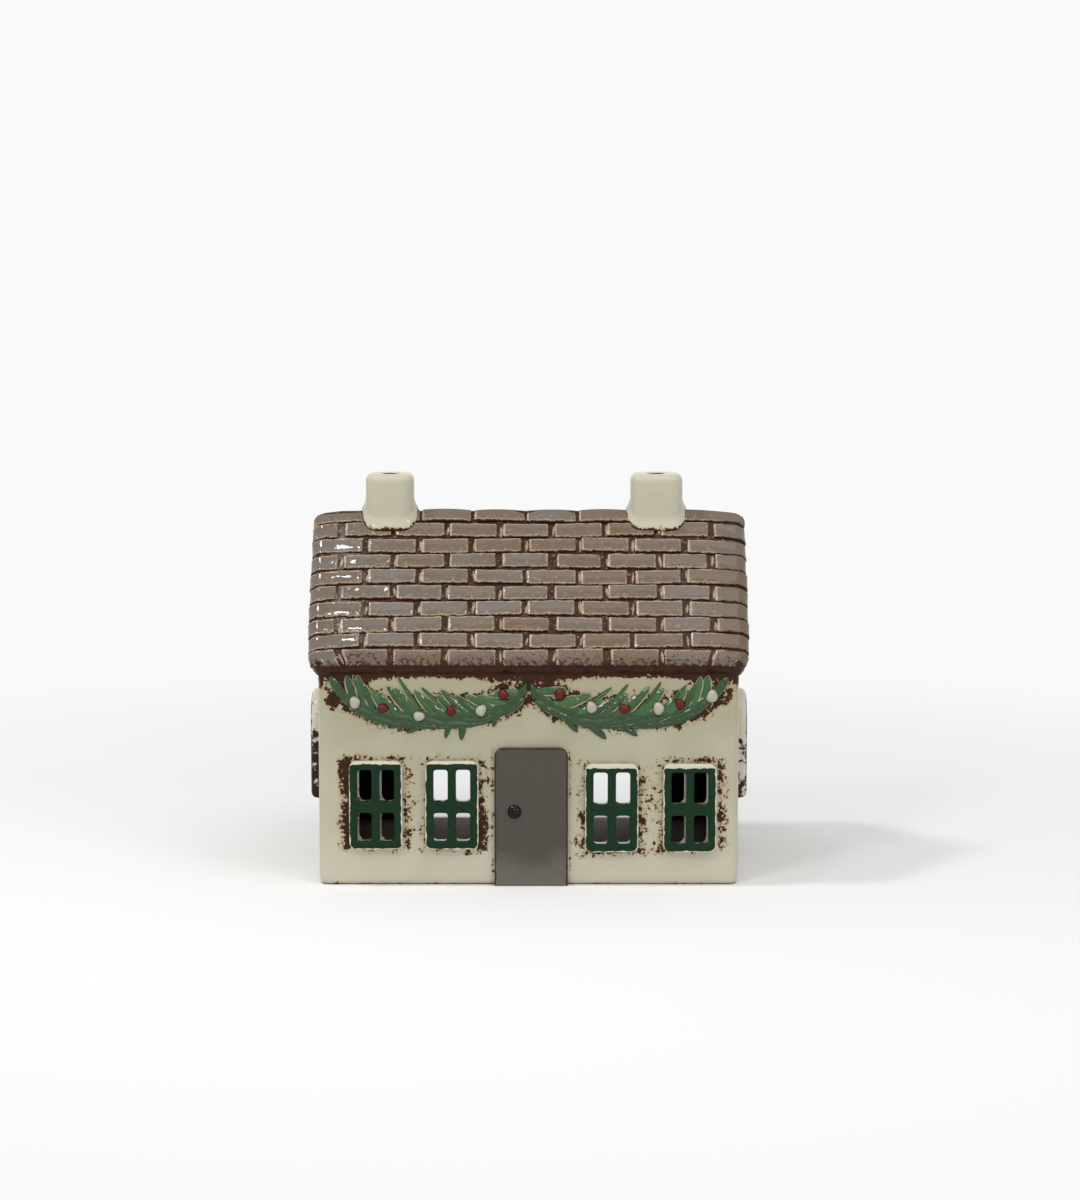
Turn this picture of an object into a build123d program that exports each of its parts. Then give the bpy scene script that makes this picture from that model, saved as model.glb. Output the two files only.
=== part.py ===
from build123d import *
import math
import os

os.makedirs("parts", exist_ok=True)

# A stoneware tealight house. +Z is up, the front with the door faces -Y, the origin is the middle of the base.
# Sizes are millimetres.

# Walls and floor
WALL_LENGTH = 150.0
WALL_DEPTH = 100.0
WALL_HEIGHT = 76.2
WALL_THICKNESS = 5.0
WALL_CORNER_RADIUS = 3.0
FLOOR_THICKNESS = 6.0
BACK_ARCH_WIDTH = 84.0
BACK_ARCH_JAMB = 14.0

# Roof of two slabs with brick-shaped tiles in running bond
ROOF_PITCH = 43.0
ROOF_THICKNESS = 8.0
RIDGE_RADIUS = 3.0
EAVE_OVERHANG = 4.0
VERGE_OVERHANG = 4.0
VERGE_RADIUS = 4.0
COURSES = 10
COURSE_JOINT = 1.0
TILE_PITCH = 19.2
TILE_JOINT = 2.6
TILE_RELIEF = 1.0
ODD_COURSE_START = -1.3
EVEN_COURSE_START = 8.5

# Chimneys: each stands astride the ridge, its place measured in from the roof end
CHIMNEY_HEIGHT = 13.4
CHIMNEY_DEPTH = 15.0
CHIMNEY_CORNER_RADIUS = 3.0
CHIMNEY_TOP_CHAMFER = 1.8
CHIMNEY_TAPER = 1.5
CHIMNEY_VENT = 6.4
LEFT_CHIMNEY_WIDTH = 17.8
LEFT_CHIMNEY_INSET = 28.2
RIGHT_CHIMNEY_WIDTH = 19.2
RIGHT_CHIMNEY_INSET = 32.4

# Door and knob
DOOR_WIDTH = 26.3
DOOR_HEIGHT = 50.0
DOOR_THICKNESS = 2.0
DOOR_CENTRE = 0.9
DOOR_CORNER_RADIUS = 3.0
KNOB_DIAMETER = 5.0
KNOB_HEIGHT = 1.8
KNOB_FROM_DOOR_EDGE = 7.2
KNOB_LEVEL = 27.0

# Front windows: four panes each, places measured from the wall ends and from the door
WINDOW_WIDTH = 19.0
WINDOW_HEIGHT = 31.8
WINDOW_THICKNESS = 3.0
WINDOW_CORNER_RADIUS = 2.6
WINDOW_STILE = 3.0
WINDOW_MULLION = 3.0
WINDOW_CROSSBAR = 4.2
PANE_CORNER_CUT = 1.0
UPPER_PANE_SHARE = 0.53
EDGE_CHAMFER = 0.8
LEFT_OUTER_WINDOW_INSET = 11.0
LEFT_INNER_WINDOW_GAP = 5.6
RIGHT_INNER_WINDOW_GAP = 6.1
RIGHT_OUTER_WINDOW_INSET = 8.0
LEFT_WINDOW_SILL = 13.5
RIGHT_WINDOW_SILL = 12.5

# Gable windows with round heads
SIDE_WINDOW_WIDTH = 24.0
SIDE_WINDOW_HEIGHT = 39.0
SIDE_WINDOW_SILL = 24.5
SIDE_WINDOW_THICKNESS = 5.0

# Garlands: two leafy swags hung under the eave from the middle to the corners
GARLAND_DROP = 2.4
GARLAND_SAG = 12.2
GARLAND_END_INSET = 6.0
GARLAND_BAND = 7.0
GARLAND_BAND_HEIGHT = 1.5
LEAF_STATIONS = 11
LEAF_LENGTH = 13.5
LEAF_WIDTH = 4.2
LEAF_HEIGHT = 2.1
LEAF_FLANK = 28.0
LEAF_SPREAD = 34.0
BERRY_DIAMETER = 3.7
BERRY_SHANK = 1.9
BERRY_DOME = 1.5
BERRY_CLEARANCE = 0.05
BERRY_SIDES = 12
BERRY_CROWN_TAPER = 38.0
# Each berry: its share of the way from the middle to the corner, and its height above the stem
LEFT_BERRIES = ((0.13, 1.0), (0.245, -1.2), (0.40, 1.3), (0.565, -0.3), (0.75, -0.3), (0.895, -2.8))
RIGHT_BERRIES = ((0.16, 2.2), (0.325, 1.6), (0.495, 2.5), (0.67, 1.3), (0.78, 0.4), (0.945, -2.6))

# Loose tealight on the floor
TEALIGHT_DIAMETER = 38.0
TEALIGHT_HEIGHT = 15.0
CUP_WALL = 0.4
CUP_RIM = 0.8
WAX_BELOW_RIM = 2.5
WICK_DIAMETER = 1.5
WICK_ABOVE_WAX = 6.0
SUSTAINER_DIAMETER = 14.0
SUSTAINER_NECK_DIAMETER = 3.2
SUSTAINER_NECK_HEIGHT = 4.0
TEALIGHT_CLEARANCE = 0.1
INNER_CLEARANCE = 0.05

# Derived places
SLOPE = math.radians(ROOF_PITCH)
HALF_WALL = WALL_LENGTH / 2
HALF_DEPTH = WALL_DEPTH / 2
HALF_INNER_DEPTH = HALF_DEPTH - WALL_THICKNESS
HALF_INNER_LENGTH = HALF_WALL - WALL_THICKNESS
EAVE_Y = HALF_DEPTH + EAVE_OVERHANG
EAVE_Z = WALL_HEIGHT + EAVE_OVERHANG / math.tan(SLOPE)
APEX_Z = EAVE_Z + EAVE_Y * math.tan(SLOPE)
UNDERSIDE_APEX_Z = APEX_Z - ROOF_THICKNESS / math.cos(SLOPE)
RIDGE_Z = APEX_Z - RIDGE_RADIUS * (1 / math.cos(SLOPE) - 1)
SLOPE_LENGTH = EAVE_Y / math.cos(SLOPE)
HALF_ROOF = HALF_WALL + VERGE_OVERHANG
COURSE_PITCH = SLOPE_LENGTH / COURSES
CHIMNEY_TOP_Z = RIDGE_Z + CHIMNEY_HEIGHT

FRONT = Plane.XZ.offset(HALF_DEPTH)
# Local x is the house length, local y stands off the slope, extrusions run down the front slope
DOWN_SLOPE = Plane(
    origin=(0, 0, APEX_Z), x_dir=(1, 0, 0), z_dir=(0, -math.cos(SLOPE), -math.sin(SLOPE)))


def yz_prism(edges, half_length):
    """Solid with the given outline in the YZ plane, reaching half_length to either side."""
    return extrude(make_face(edges), amount=half_length, dir=(1, 0, 0), both=True)


def roof_section(relief, end_inset):
    """Front half of the roof across the ridge, its weather face lowered by relief."""
    apex = APEX_Z - relief / math.cos(SLOPE)
    centre = RIDGE_Z - RIDGE_RADIUS
    radius = RIDGE_RADIUS - relief
    round_end = (0, -radius * math.sin(SLOPE), centre + radius * math.cos(SLOPE))
    round_mid = (0, -radius * math.sin(SLOPE / 2), centre + radius * math.cos(SLOPE / 2))
    eave_y = -EAVE_Y + end_inset * math.cos(SLOPE) + relief * math.sin(SLOPE)
    eave_z = apex + eave_y * math.tan(SLOPE)
    rest = ROOF_THICKNESS - relief
    toe_y = eave_y + rest * math.sin(SLOPE)
    toe_z = eave_z - rest * math.cos(SLOPE)
    return [
        ThreePointArc((0, 0, centre + radius), round_mid, round_end),
        Line(round_end, (0, eave_y, eave_z)),
        Line((0, eave_y, eave_z), (0, toe_y, toe_z)),
        Line((0, toe_y, toe_z), (0, 0, UNDERSIDE_APEX_Z)),
        Line((0, 0, UNDERSIDE_APEX_Z), (0, 0, centre + radius)),
    ]


def slope_profile(half_length, relief, radius):
    """Roof slab cut across the slope: a bar with rounded upper verges, run past ridge and eave."""
    outline = Polyline(
        (-half_length, -2 * ROOF_THICKNESS), (half_length, -2 * ROOF_THICKNESS),
        (half_length, -relief), (-half_length, -relief), close=True)
    sketch = make_face(outline)
    verges = sketch.vertices().group_by(Axis.Y)[-1]
    sketch = fillet(verges, radius)
    return extrude(DOWN_SLOPE * sketch, amount=2 * SLOPE_LENGTH, both=True)


def slope_box(x, width, low, high, start, end):
    """Box on the front slope: x centre and width, height range off the slope, distances from the ridge."""
    sketch = Pos(x, (low + high) / 2) * Rectangle(width, high - low)
    return extrude(DOWN_SLOPE.offset(start) * sketch, amount=end - start)


def roof_slab():
    """Front roof slab: ten raised courses of tiles on a thinner bed, wrapping round both verges."""
    body = yz_prism(roof_section(0, 0), 2 * HALF_ROOF) & slope_profile(HALF_ROOF, 0, VERGE_RADIUS)
    bed = yz_prism(roof_section(TILE_RELIEF, TILE_RELIEF), 2 * HALF_ROOF)
    bed = bed & slope_profile(HALF_ROOF - TILE_RELIEF, TILE_RELIEF, VERGE_RADIUS - TILE_RELIEF)
    deep = 2 * ROOF_THICKNESS
    grooves = []
    for row in range(1, COURSES):
        line = row * COURSE_PITCH
        grooves.append(slope_box(
            0, 3 * HALF_ROOF, -deep, deep, line - COURSE_JOINT / 2, line + COURSE_JOINT / 2))
    joints = []
    reach = math.ceil(2 * HALF_ROOF / TILE_PITCH)
    for row in range(COURSES):
        first = ODD_COURSE_START if row % 2 == 0 else EVEN_COURSE_START
        for k in range(-reach, reach + 1):
            x = first + k * TILE_PITCH
            if abs(x) < HALF_ROOF - VERGE_RADIUS - TILE_JOINT:
                joints.append(slope_box(
                    x, TILE_JOINT, -0.9 * TILE_RELIEF, deep,
                    row * COURSE_PITCH - (deep if row == 0 else 0), (row + 1) * COURSE_PITCH))
    courses = body - grooves
    courses = courses - joints
    slab = bed + courses
    for x in (LEFT_CHIMNEY_X, RIGHT_CHIMNEY_X):
        slab = slab - Pos(x, 0, APEX_Z) * Cylinder(CHIMNEY_VENT / 2, 4 * ROOF_THICKNESS)
    return slab


def chimney(x, width):
    """Square stack with rounded edges, saddled over the ridge, with a round vent down its middle."""
    base_z = APEX_Z - CHIMNEY_DEPTH / 2 * math.tan(SLOPE)
    plan = RectangleRounded(width, CHIMNEY_DEPTH, CHIMNEY_CORNER_RADIUS)
    stack = extrude(Pos(x, 0, base_z) * plan, amount=CHIMNEY_TOP_Z - base_z, taper=CHIMNEY_TAPER)
    stack = chamfer(stack.faces().sort_by(Axis.Z)[-1].edges(), CHIMNEY_TOP_CHAMFER)
    saddle = yz_prism(roof_section(0, 0), 2 * HALF_ROOF)
    stack = stack - saddle - mirror(saddle, about=Plane.XZ)
    return stack - Pos(x, 0, APEX_Z) * Cylinder(CHIMNEY_VENT / 2, 4 * CHIMNEY_HEIGHT)


def round_head(width, height, inset):
    """Upright outline with a half-round head, standing on its sill at the local origin."""
    half = width / 2 - inset
    spring = height - width / 2
    return make_face([
        Line((-half, inset), (half, inset)),
        Line((half, inset), (half, spring)),
        ThreePointArc((half, spring), (0, spring + half), (-half, spring)),
        Line((-half, spring), (-half, inset)),
    ])


def window_panes():
    """Four panes of a front window, around the middle of the window."""
    pane_width = (WINDOW_WIDTH - 2 * WINDOW_STILE - WINDOW_MULLION) / 2
    glass = WINDOW_HEIGHT - 2 * WINDOW_STILE - WINDOW_CROSSBAR
    upper = glass * UPPER_PANE_SHARE
    lower = glass - upper
    x = (WINDOW_MULLION + pane_width) / 2
    panes = Sketch()
    for side in (-x, x):
        top = WINDOW_HEIGHT / 2 - WINDOW_STILE - upper / 2
        bottom = -WINDOW_HEIGHT / 2 + WINDOW_STILE + lower / 2
        panes += Pos(side, top) * Rectangle(pane_width, upper)
        panes += Pos(side, bottom) * Rectangle(pane_width, lower)
    return chamfer(panes.vertices(), PANE_CORNER_CUT)


def side_panes():
    """Four panes under a round head for a gable window, measured from its sill."""
    bar_z = WINDOW_STILE + 0.45 * (SIDE_WINDOW_HEIGHT - 2 * WINDOW_STILE)
    panes = round_head(SIDE_WINDOW_WIDTH, SIDE_WINDOW_HEIGHT, WINDOW_STILE)
    panes -= Pos(0, SIDE_WINDOW_HEIGHT / 2) * Rectangle(WINDOW_MULLION, SIDE_WINDOW_HEIGHT)
    panes -= Pos(0, bar_z) * Rectangle(SIDE_WINDOW_WIDTH, WINDOW_CROSSBAR)
    return chamfer(panes.vertices(), PANE_CORNER_CUT)


def soften(solid, axis, index):
    """Chamfer the outer rim of the face that stands furthest out."""
    face = solid.faces().sort_by(axis)[index]
    return chamfer(face.outer_wire().edges(), EDGE_CHAMFER)


def swag_point(side, t):
    """Place and heading on a swag's stem: t runs from the middle of the house to the corner."""
    span = side * (HALF_WALL - GARLAND_END_INSET)
    x = span * t
    z = WALL_HEIGHT - GARLAND_DROP - GARLAND_SAG * 4 * t * (1 - t)
    heading = math.degrees(math.atan2(-GARLAND_SAG * 4 * (1 - 2 * t), span))
    return x, z, heading


def leaf(x, z, angle, length, width, height):
    """One pointed leaf in relief with sloping flanks, its stalk end at x, z on the front wall."""
    half = width / 2
    outline = Polyline(
        (0, 0), (0.35 * length, -half), (0.7 * length, -0.75 * half), (length, 0),
        (0.7 * length, 0.75 * half), (0.35 * length, half), close=True)
    sketch = FRONT * (Pos(x, z) * Rot(0, 0, angle) * make_face(outline))
    return extrude(sketch, amount=height, taper=LEAF_FLANK)


def berry_outline(gap):
    """Many-sided round of a berry, widened by gap."""
    return RegularPolygon(BERRY_DIAMETER / 2 + gap, BERRY_SIDES)


def berry_place(side, station):
    """Where a berry stands on the front wall."""
    t, rise = station
    x, z, _ = swag_point(side, t)
    return Pos(x, z + rise)


def garland(side, stations):
    """Swag of overlapping leaves on a stem, with a round seat for every berry."""
    middle = swag_point(side, 0.5)
    start = swag_point(side, 0)
    end = swag_point(side, 0.97)
    half = GARLAND_BAND / 2
    thin = half * 0.55
    band = make_face([
        ThreePointArc((start[0], start[1] + thin), (middle[0], middle[1] + half), (end[0], end[1] + thin)),
        Line((end[0], end[1] + thin), (end[0], end[1] - thin)),
        ThreePointArc((end[0], end[1] - thin), (middle[0], middle[1] - half), (start[0], start[1] - thin)),
        Line((start[0], start[1] - thin), (start[0], start[1] + thin)),
    ])
    stem = extrude(FRONT * band, amount=GARLAND_BAND_HEIGHT)
    leaves = []
    for i in range(LEAF_STATIONS):
        t = 0.02 + 0.88 * i / (LEAF_STATIONS - 1)
        x, z, heading = swag_point(side, t)
        length = LEAF_LENGTH * (1 - 0.35 * abs(2 * t - 1))
        for turn in (-LEAF_SPREAD, LEAF_SPREAD):
            height = LEAF_HEIGHT + 0.17 * (i % 3) + (0.08 if turn > 0 else 0)
            leaves.append(leaf(x, z, heading + turn, length, LEAF_WIDTH, height))
    swag = stem + leaves
    keep = Pos(0, 0, WALL_HEIGHT / 2) * Box(
        2 * (HALF_WALL - WALL_CORNER_RADIUS), 2 * WALL_DEPTH, WALL_HEIGHT)
    swag = swag & keep
    for station in stations:
        seat = berry_place(side, station) * berry_outline(BERRY_CLEARANCE)
        swag = swag - extrude(FRONT * seat, amount=3 * LEAF_HEIGHT)
    return swag


def turned(points):
    """Solid of revolution round the local z axis from radius and height pairs."""
    outline = Polyline(*[(r, 0, z) for r, z in points], close=True)
    return revolve(make_face(outline), Axis.Z)


def dome(diameter, shank, rise):
    """Round button along local z: a short shank under a domed head."""
    radius = diameter / 2
    return turned([
        (0, 0), (radius, 0), (radius, shank), (0.8 * radius, shank + 0.6 * rise),
        (0.4 * radius, shank + rise), (0, shank + rise)])


def berries(first):
    """Every second berry of both swags, set in its seat on the wall."""
    picks = []
    for side, stations in ((-1, LEFT_BERRIES), (1, RIGHT_BERRIES)):
        for station in stations[first::2]:
            outline = berry_place(side, station) * berry_outline(0)
            shank = extrude(FRONT * outline, amount=BERRY_SHANK)
            crown = extrude(FRONT.offset(BERRY_SHANK) * outline, amount=BERRY_DOME, taper=BERRY_CROWN_TAPER)
            picks.append(shank + crown)
    return Compound(children=picks)


LEFT_CHIMNEY_X = -HALF_ROOF + LEFT_CHIMNEY_INSET
RIGHT_CHIMNEY_X = HALF_ROOF - RIGHT_CHIMNEY_INSET
DOOR_LEFT = DOOR_CENTRE - DOOR_WIDTH / 2
DOOR_RIGHT = DOOR_CENTRE + DOOR_WIDTH / 2
WINDOWS = {
    "left_outer_window": (
        -HALF_WALL + LEFT_OUTER_WINDOW_INSET + WINDOW_WIDTH / 2, LEFT_WINDOW_SILL + WINDOW_HEIGHT / 2),
    "left_inner_window": (
        DOOR_LEFT - LEFT_INNER_WINDOW_GAP - WINDOW_WIDTH / 2, LEFT_WINDOW_SILL + WINDOW_HEIGHT / 2),
    "right_inner_window": (
        DOOR_RIGHT + RIGHT_INNER_WINDOW_GAP + WINDOW_WIDTH / 2, RIGHT_WINDOW_SILL + WINDOW_HEIGHT / 2),
    "right_outer_window": (
        HALF_WALL - RIGHT_OUTER_WINDOW_INSET - WINDOW_WIDTH / 2, RIGHT_WINDOW_SILL + WINDOW_HEIGHT / 2),
}
SIDES = {
    "left_gable": Plane(origin=(-HALF_WALL, 0, 0), x_dir=(0, -1, 0), z_dir=(-1, 0, 0)),
    "right_gable": Plane(origin=(HALF_WALL, 0, 0), x_dir=(0, 1, 0), z_dir=(1, 0, 0)),
}
nodes = {}

# Long walls: rounded outer corners, heads trimmed to the roof they carry
roof_solid = yz_prism(roof_section(0, 0), HALF_ROOF)
long_wall = Pos(0, -HALF_DEPTH + WALL_THICKNESS / 2, UNDERSIDE_APEX_Z / 2) * Box(
    WALL_LENGTH, WALL_THICKNESS, UNDERSIDE_APEX_Z)
corners = long_wall.edges().filter_by(Axis.Z).group_by(Axis.Y)[0]
long_wall = fillet(corners, WALL_CORNER_RADIUS)
above_roof = Pos(0, -HALF_DEPTH, EAVE_Z + UNDERSIDE_APEX_Z / 2) * Box(
    2 * WALL_LENGTH, 4 * WALL_THICKNESS, UNDERSIDE_APEX_Z)
long_wall = long_wall - roof_solid - above_roof
long_wall = long_wall.solids().sort_by(SortBy.VOLUME)[-1]
front_wall = long_wall
for x, z in WINDOWS.values():
    front_wall = front_wall - extrude(FRONT * (Pos(x, z) * window_panes()), amount=-2 * WALL_THICKNESS)
nodes["front_wall"] = front_wall

# Back wall: an arch down to the floor lets the tealight in
half_arch = BACK_ARCH_WIDTH / 2
spring_z = FLOOR_THICKNESS + BACK_ARCH_JAMB
arch = make_face([
    Line((-half_arch, FLOOR_THICKNESS), (half_arch, FLOOR_THICKNESS)),
    Line((half_arch, FLOOR_THICKNESS), (half_arch, spring_z)),
    ThreePointArc((half_arch, spring_z), (0, spring_z + half_arch), (-half_arch, spring_z)),
    Line((-half_arch, spring_z), (-half_arch, FLOOR_THICKNESS)),
])
nodes["back_wall"] = mirror(long_wall, about=Plane.XZ) - extrude(
    Plane.XZ * arch, amount=-2 * WALL_DEPTH)

nodes["floor_slab"] = Pos(0, 0, FLOOR_THICKNESS / 2) * Box(
    2 * HALF_INNER_LENGTH, 2 * HALF_INNER_DEPTH, FLOOR_THICKNESS)

# Gable walls with their round-headed windows
shoulder = UNDERSIDE_APEX_Z - HALF_INNER_DEPTH * math.tan(SLOPE)
gable_outline = Polyline(
    (-HALF_INNER_DEPTH, 0), (HALF_INNER_DEPTH, 0), (HALF_INNER_DEPTH, shoulder),
    (0, UNDERSIDE_APEX_Z), (-HALF_INNER_DEPTH, shoulder), close=True)
for name, plane in SIDES.items():
    openings = Pos(0, SIDE_WINDOW_SILL) * side_panes()
    gable = extrude(plane * make_face(gable_outline), amount=-WALL_THICKNESS)
    nodes[name] = gable - extrude(plane * openings, amount=-2 * WALL_THICKNESS)
    frame = extrude(
        plane * (Pos(0, SIDE_WINDOW_SILL) * round_head(SIDE_WINDOW_WIDTH, SIDE_WINDOW_HEIGHT, 0)),
        amount=SIDE_WINDOW_THICKNESS)
    frame = soften(frame, Axis.X, 0 if name == "left_gable" else -1)
    nodes[name + "_window"] = frame - extrude(plane * openings, amount=2 * SIDE_WINDOW_THICKNESS)

front_roof = roof_slab()
nodes["front_roof_slab"] = front_roof
nodes["back_roof_slab"] = mirror(front_roof, about=Plane.XZ)
nodes["left_chimney"] = chimney(LEFT_CHIMNEY_X, LEFT_CHIMNEY_WIDTH)
nodes["right_chimney"] = chimney(RIGHT_CHIMNEY_X, RIGHT_CHIMNEY_WIDTH)

for name, (x, z) in WINDOWS.items():
    rim = RectangleRounded(WINDOW_WIDTH, WINDOW_HEIGHT, WINDOW_CORNER_RADIUS)
    frame = soften(extrude(FRONT * (Pos(x, z) * rim), amount=WINDOW_THICKNESS), Axis.Y, 0)
    nodes[name] = frame - extrude(FRONT * (Pos(x, z) * window_panes()), amount=2 * WINDOW_THICKNESS)

# Door panel with round upper corners and a domed knob
panel = Pos(DOOR_CENTRE, DOOR_HEIGHT / 2) * Rectangle(DOOR_WIDTH, DOOR_HEIGHT)
panel = fillet(panel.vertices().group_by(Axis.Y)[-1], DOOR_CORNER_RADIUS)
nodes["front_door"] = soften(extrude(FRONT * panel, amount=DOOR_THICKNESS), Axis.Y, 0)
knob_place = Pos(DOOR_LEFT + KNOB_FROM_DOOR_EDGE, KNOB_LEVEL, 0)
nodes["door_knob"] = FRONT.offset(DOOR_THICKNESS) * knob_place * dome(
    KNOB_DIAMETER, 0.25 * KNOB_HEIGHT, 0.75 * KNOB_HEIGHT)

nodes["left_garland"] = garland(-1, LEFT_BERRIES)
nodes["right_garland"] = garland(1, RIGHT_BERRIES)
nodes["red_berries"] = berries(0)
nodes["white_berries"] = berries(1)

# Tealight: foil cup, wax, tin wick sustainer and wick
seat_z = FLOOR_THICKNESS + TEALIGHT_CLEARANCE
cup_radius = TEALIGHT_DIAMETER / 2
inner_radius = cup_radius - CUP_WALL
wax_top = TEALIGHT_HEIGHT - WAX_BELOW_RIM
wick_radius = WICK_DIAMETER / 2
neck_radius = SUSTAINER_NECK_DIAMETER / 2
neck_top = CUP_WALL + SUSTAINER_NECK_HEIGHT
disc_top = 2 * CUP_WALL
bore_radius = wick_radius + INNER_CLEARANCE
tealight = {
    "tealight_cup": turned([
        (0, 0), (cup_radius, 0), (cup_radius, TEALIGHT_HEIGHT - CUP_WALL),
        (cup_radius + CUP_RIM, TEALIGHT_HEIGHT - CUP_WALL), (cup_radius + CUP_RIM, TEALIGHT_HEIGHT),
        (inner_radius, TEALIGHT_HEIGHT), (inner_radius, CUP_WALL), (0, CUP_WALL)]),
    "wick_sustainer": turned([
        (bore_radius, CUP_WALL), (SUSTAINER_DIAMETER / 2, CUP_WALL), (SUSTAINER_DIAMETER / 2, disc_top),
        (neck_radius, disc_top), (neck_radius, neck_top), (bore_radius, neck_top)]),
    "wick": turned([
        (0, CUP_WALL), (wick_radius, CUP_WALL), (wick_radius, wax_top + WICK_ABOVE_WAX),
        (0, wax_top + WICK_ABOVE_WAX)]),
    "wax": turned([
        (SUSTAINER_DIAMETER / 2 + INNER_CLEARANCE, CUP_WALL), (inner_radius - INNER_CLEARANCE, CUP_WALL),
        (inner_radius - INNER_CLEARANCE, wax_top), (bore_radius, wax_top),
        (bore_radius, neck_top), (neck_radius + INNER_CLEARANCE, neck_top),
        (neck_radius + INNER_CLEARANCE, disc_top),
        (SUSTAINER_DIAMETER / 2 + INNER_CLEARANCE, disc_top)]),
}
for name, solid in tealight.items():
    nodes[name] = Pos(0, 0, seat_z) * solid

for name, solid in nodes.items():
    export_step(solid, f"parts/{name}.step")
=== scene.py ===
import math
import random

import bpy
import numpy as np
from mathutils import Matrix, Vector


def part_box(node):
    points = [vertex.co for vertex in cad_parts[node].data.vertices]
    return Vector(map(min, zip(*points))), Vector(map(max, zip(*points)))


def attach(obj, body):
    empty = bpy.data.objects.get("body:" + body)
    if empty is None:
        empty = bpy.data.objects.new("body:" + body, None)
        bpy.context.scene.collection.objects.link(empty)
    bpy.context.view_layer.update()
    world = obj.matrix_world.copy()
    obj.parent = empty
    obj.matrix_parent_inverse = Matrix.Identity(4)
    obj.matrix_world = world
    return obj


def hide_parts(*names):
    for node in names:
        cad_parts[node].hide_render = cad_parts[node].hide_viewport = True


# A glazed stoneware tealight house: cream walls, tiled roof, two chimneys, green windows and a leafy garland.
# The frame is in metres and the front faces -Y. Sizes are written in millimetres times MM.
MM = 0.001

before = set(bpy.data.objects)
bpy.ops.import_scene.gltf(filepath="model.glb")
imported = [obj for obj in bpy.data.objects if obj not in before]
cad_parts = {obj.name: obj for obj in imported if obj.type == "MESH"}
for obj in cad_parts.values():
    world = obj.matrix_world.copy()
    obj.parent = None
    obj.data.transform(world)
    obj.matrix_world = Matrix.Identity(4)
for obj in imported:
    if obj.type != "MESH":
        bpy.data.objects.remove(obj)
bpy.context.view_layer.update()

# Places read from the frame
wall_low, wall_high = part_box("front_wall")
gable_low, gable_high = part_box("right_gable")
roof_low, roof_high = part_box("front_roof_slab")
_, floor_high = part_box("floor_slab")
FRONT_Y = wall_low.y
HALF_WALL = wall_high.x
HALF_DEPTH = -wall_low.y
HALF_INNER_DEPTH = -wall_high.y
HALF_INNER_LENGTH = gable_low.x
FLOOR_TOP = floor_high.z
HALF_ROOF = roof_high.x
EAVE_Y = -roof_low.y
RIDGE_Z = roof_high.z
UNDERSIDE_APEX_Z = gable_high.z

# Roof form
PITCH = math.radians(43)
RIDGE_RADIUS = 3 * MM
VERGE_RADIUS = 4 * MM
ROOF_THICKNESS = 8 * MM
COURSES = 10
COURSE_JOINT = 0.65 * MM
TILE_PITCH = 19.2 * MM
TILE_JOINT = 2.1 * MM
TILE_RELIEF = 0.8 * MM
EAVE_RADIUS = 3.2 * MM
EAVE_ROLL = 1.15
CORNER_TUCK = 5 * MM
CORNER_RUN = 12 * MM
TUCK_FROM = 55 * MM
TUCK_FULL = 74 * MM
TILE_SKIRT = 2.2 * MM
RIDGE_GAP = 0.35 * MM
RIDGE_LAP = 1.6 * MM
ROW_WAVE = 0.35 * MM
ROW_WAVE_LENGTH = 17 * MM
LIP_SHARE = 0.75
ROOF_SEED = 40
BACK_SEED_STEP = 100
VERGE_UNDER_RADIUS = 2.2 * MM
RIDGE_CROWN = 0.5 * MM
TILE_EDGE_RADIUS = 0.7 * MM
TILE_EDGE_LINES = (0.0, 0.25 * MM, 0.55 * MM, 1.1 * MM)
VERGE_DROOP = 1.7 * MM
DROOP_START = 56 * MM
ODD_COURSE_START = -1.3 * MM
EVEN_COURSE_START = 8.5 * MM
APEX_Z = RIDGE_Z + RIDGE_RADIUS * (1 / math.cos(PITCH) - 1)
SLOPE_LENGTH = EAVE_Y / math.cos(PITCH)
COURSE_PITCH = SLOPE_LENGTH / COURSES
VERGE_ARC = VERGE_RADIUS * math.pi / 2
VERGE_START = HALF_ROOF - VERGE_RADIUS
ROOF_REACH = VERGE_START + VERGE_ARC + ROOF_THICKNESS - VERGE_RADIUS - VERGE_UNDER_RADIUS

# Openings
EAVE_TOP_Z = 76.2 * MM
WINDOW_STILE = 3.0 * MM
MULLION = 3.0 * MM
CROSSBAR = 4.2 * MM
PANE_CORNER = 0.8 * MM
REVEAL_EASE = 0.5 * MM
UPPER_PANE_SHARE = 0.53
SIDE_LOWER_SHARE = 0.45
BACK_ARCH_WIDTH = 84 * MM
BACK_ARCH_JAMB = 14 * MM

# Walls and their reliefs
OUTER_SKIN = 1.5 * MM
WALL_OVERLAP = 1 * MM
WALL_BITE = 2 * MM
GABLE_BITE = 1.2 * MM
WALL_CORNER = 3 * MM
WALL_FOOT = 2.0 * MM
WALL_VOXEL = 0.95 * MM
PANE_CUT_REACH = 20 * MM
OUTER_PANE_SHIFT = 0.9 * MM
RELIEF_BED = 0.6 * MM
FRAME_CORNER = 2.6 * MM
FRAME_VOXEL = 0.36 * MM
DOOR_CORNER = 3 * MM
DOOR_VOXEL = 0.4 * MM
KNOB_FLAT_AT = (-0.62 * MM, -1.28 * MM, 1.34 * MM)
KNOB_FLAT_FACING = Vector((-0.21, -0.87, 0.45)).normalized()
KNOB_FLAT_EDGE = 0.12 * MM
STAIN_BESIDE = 4.8 * MM
STAIN_OVER = 2.9 * MM

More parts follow.
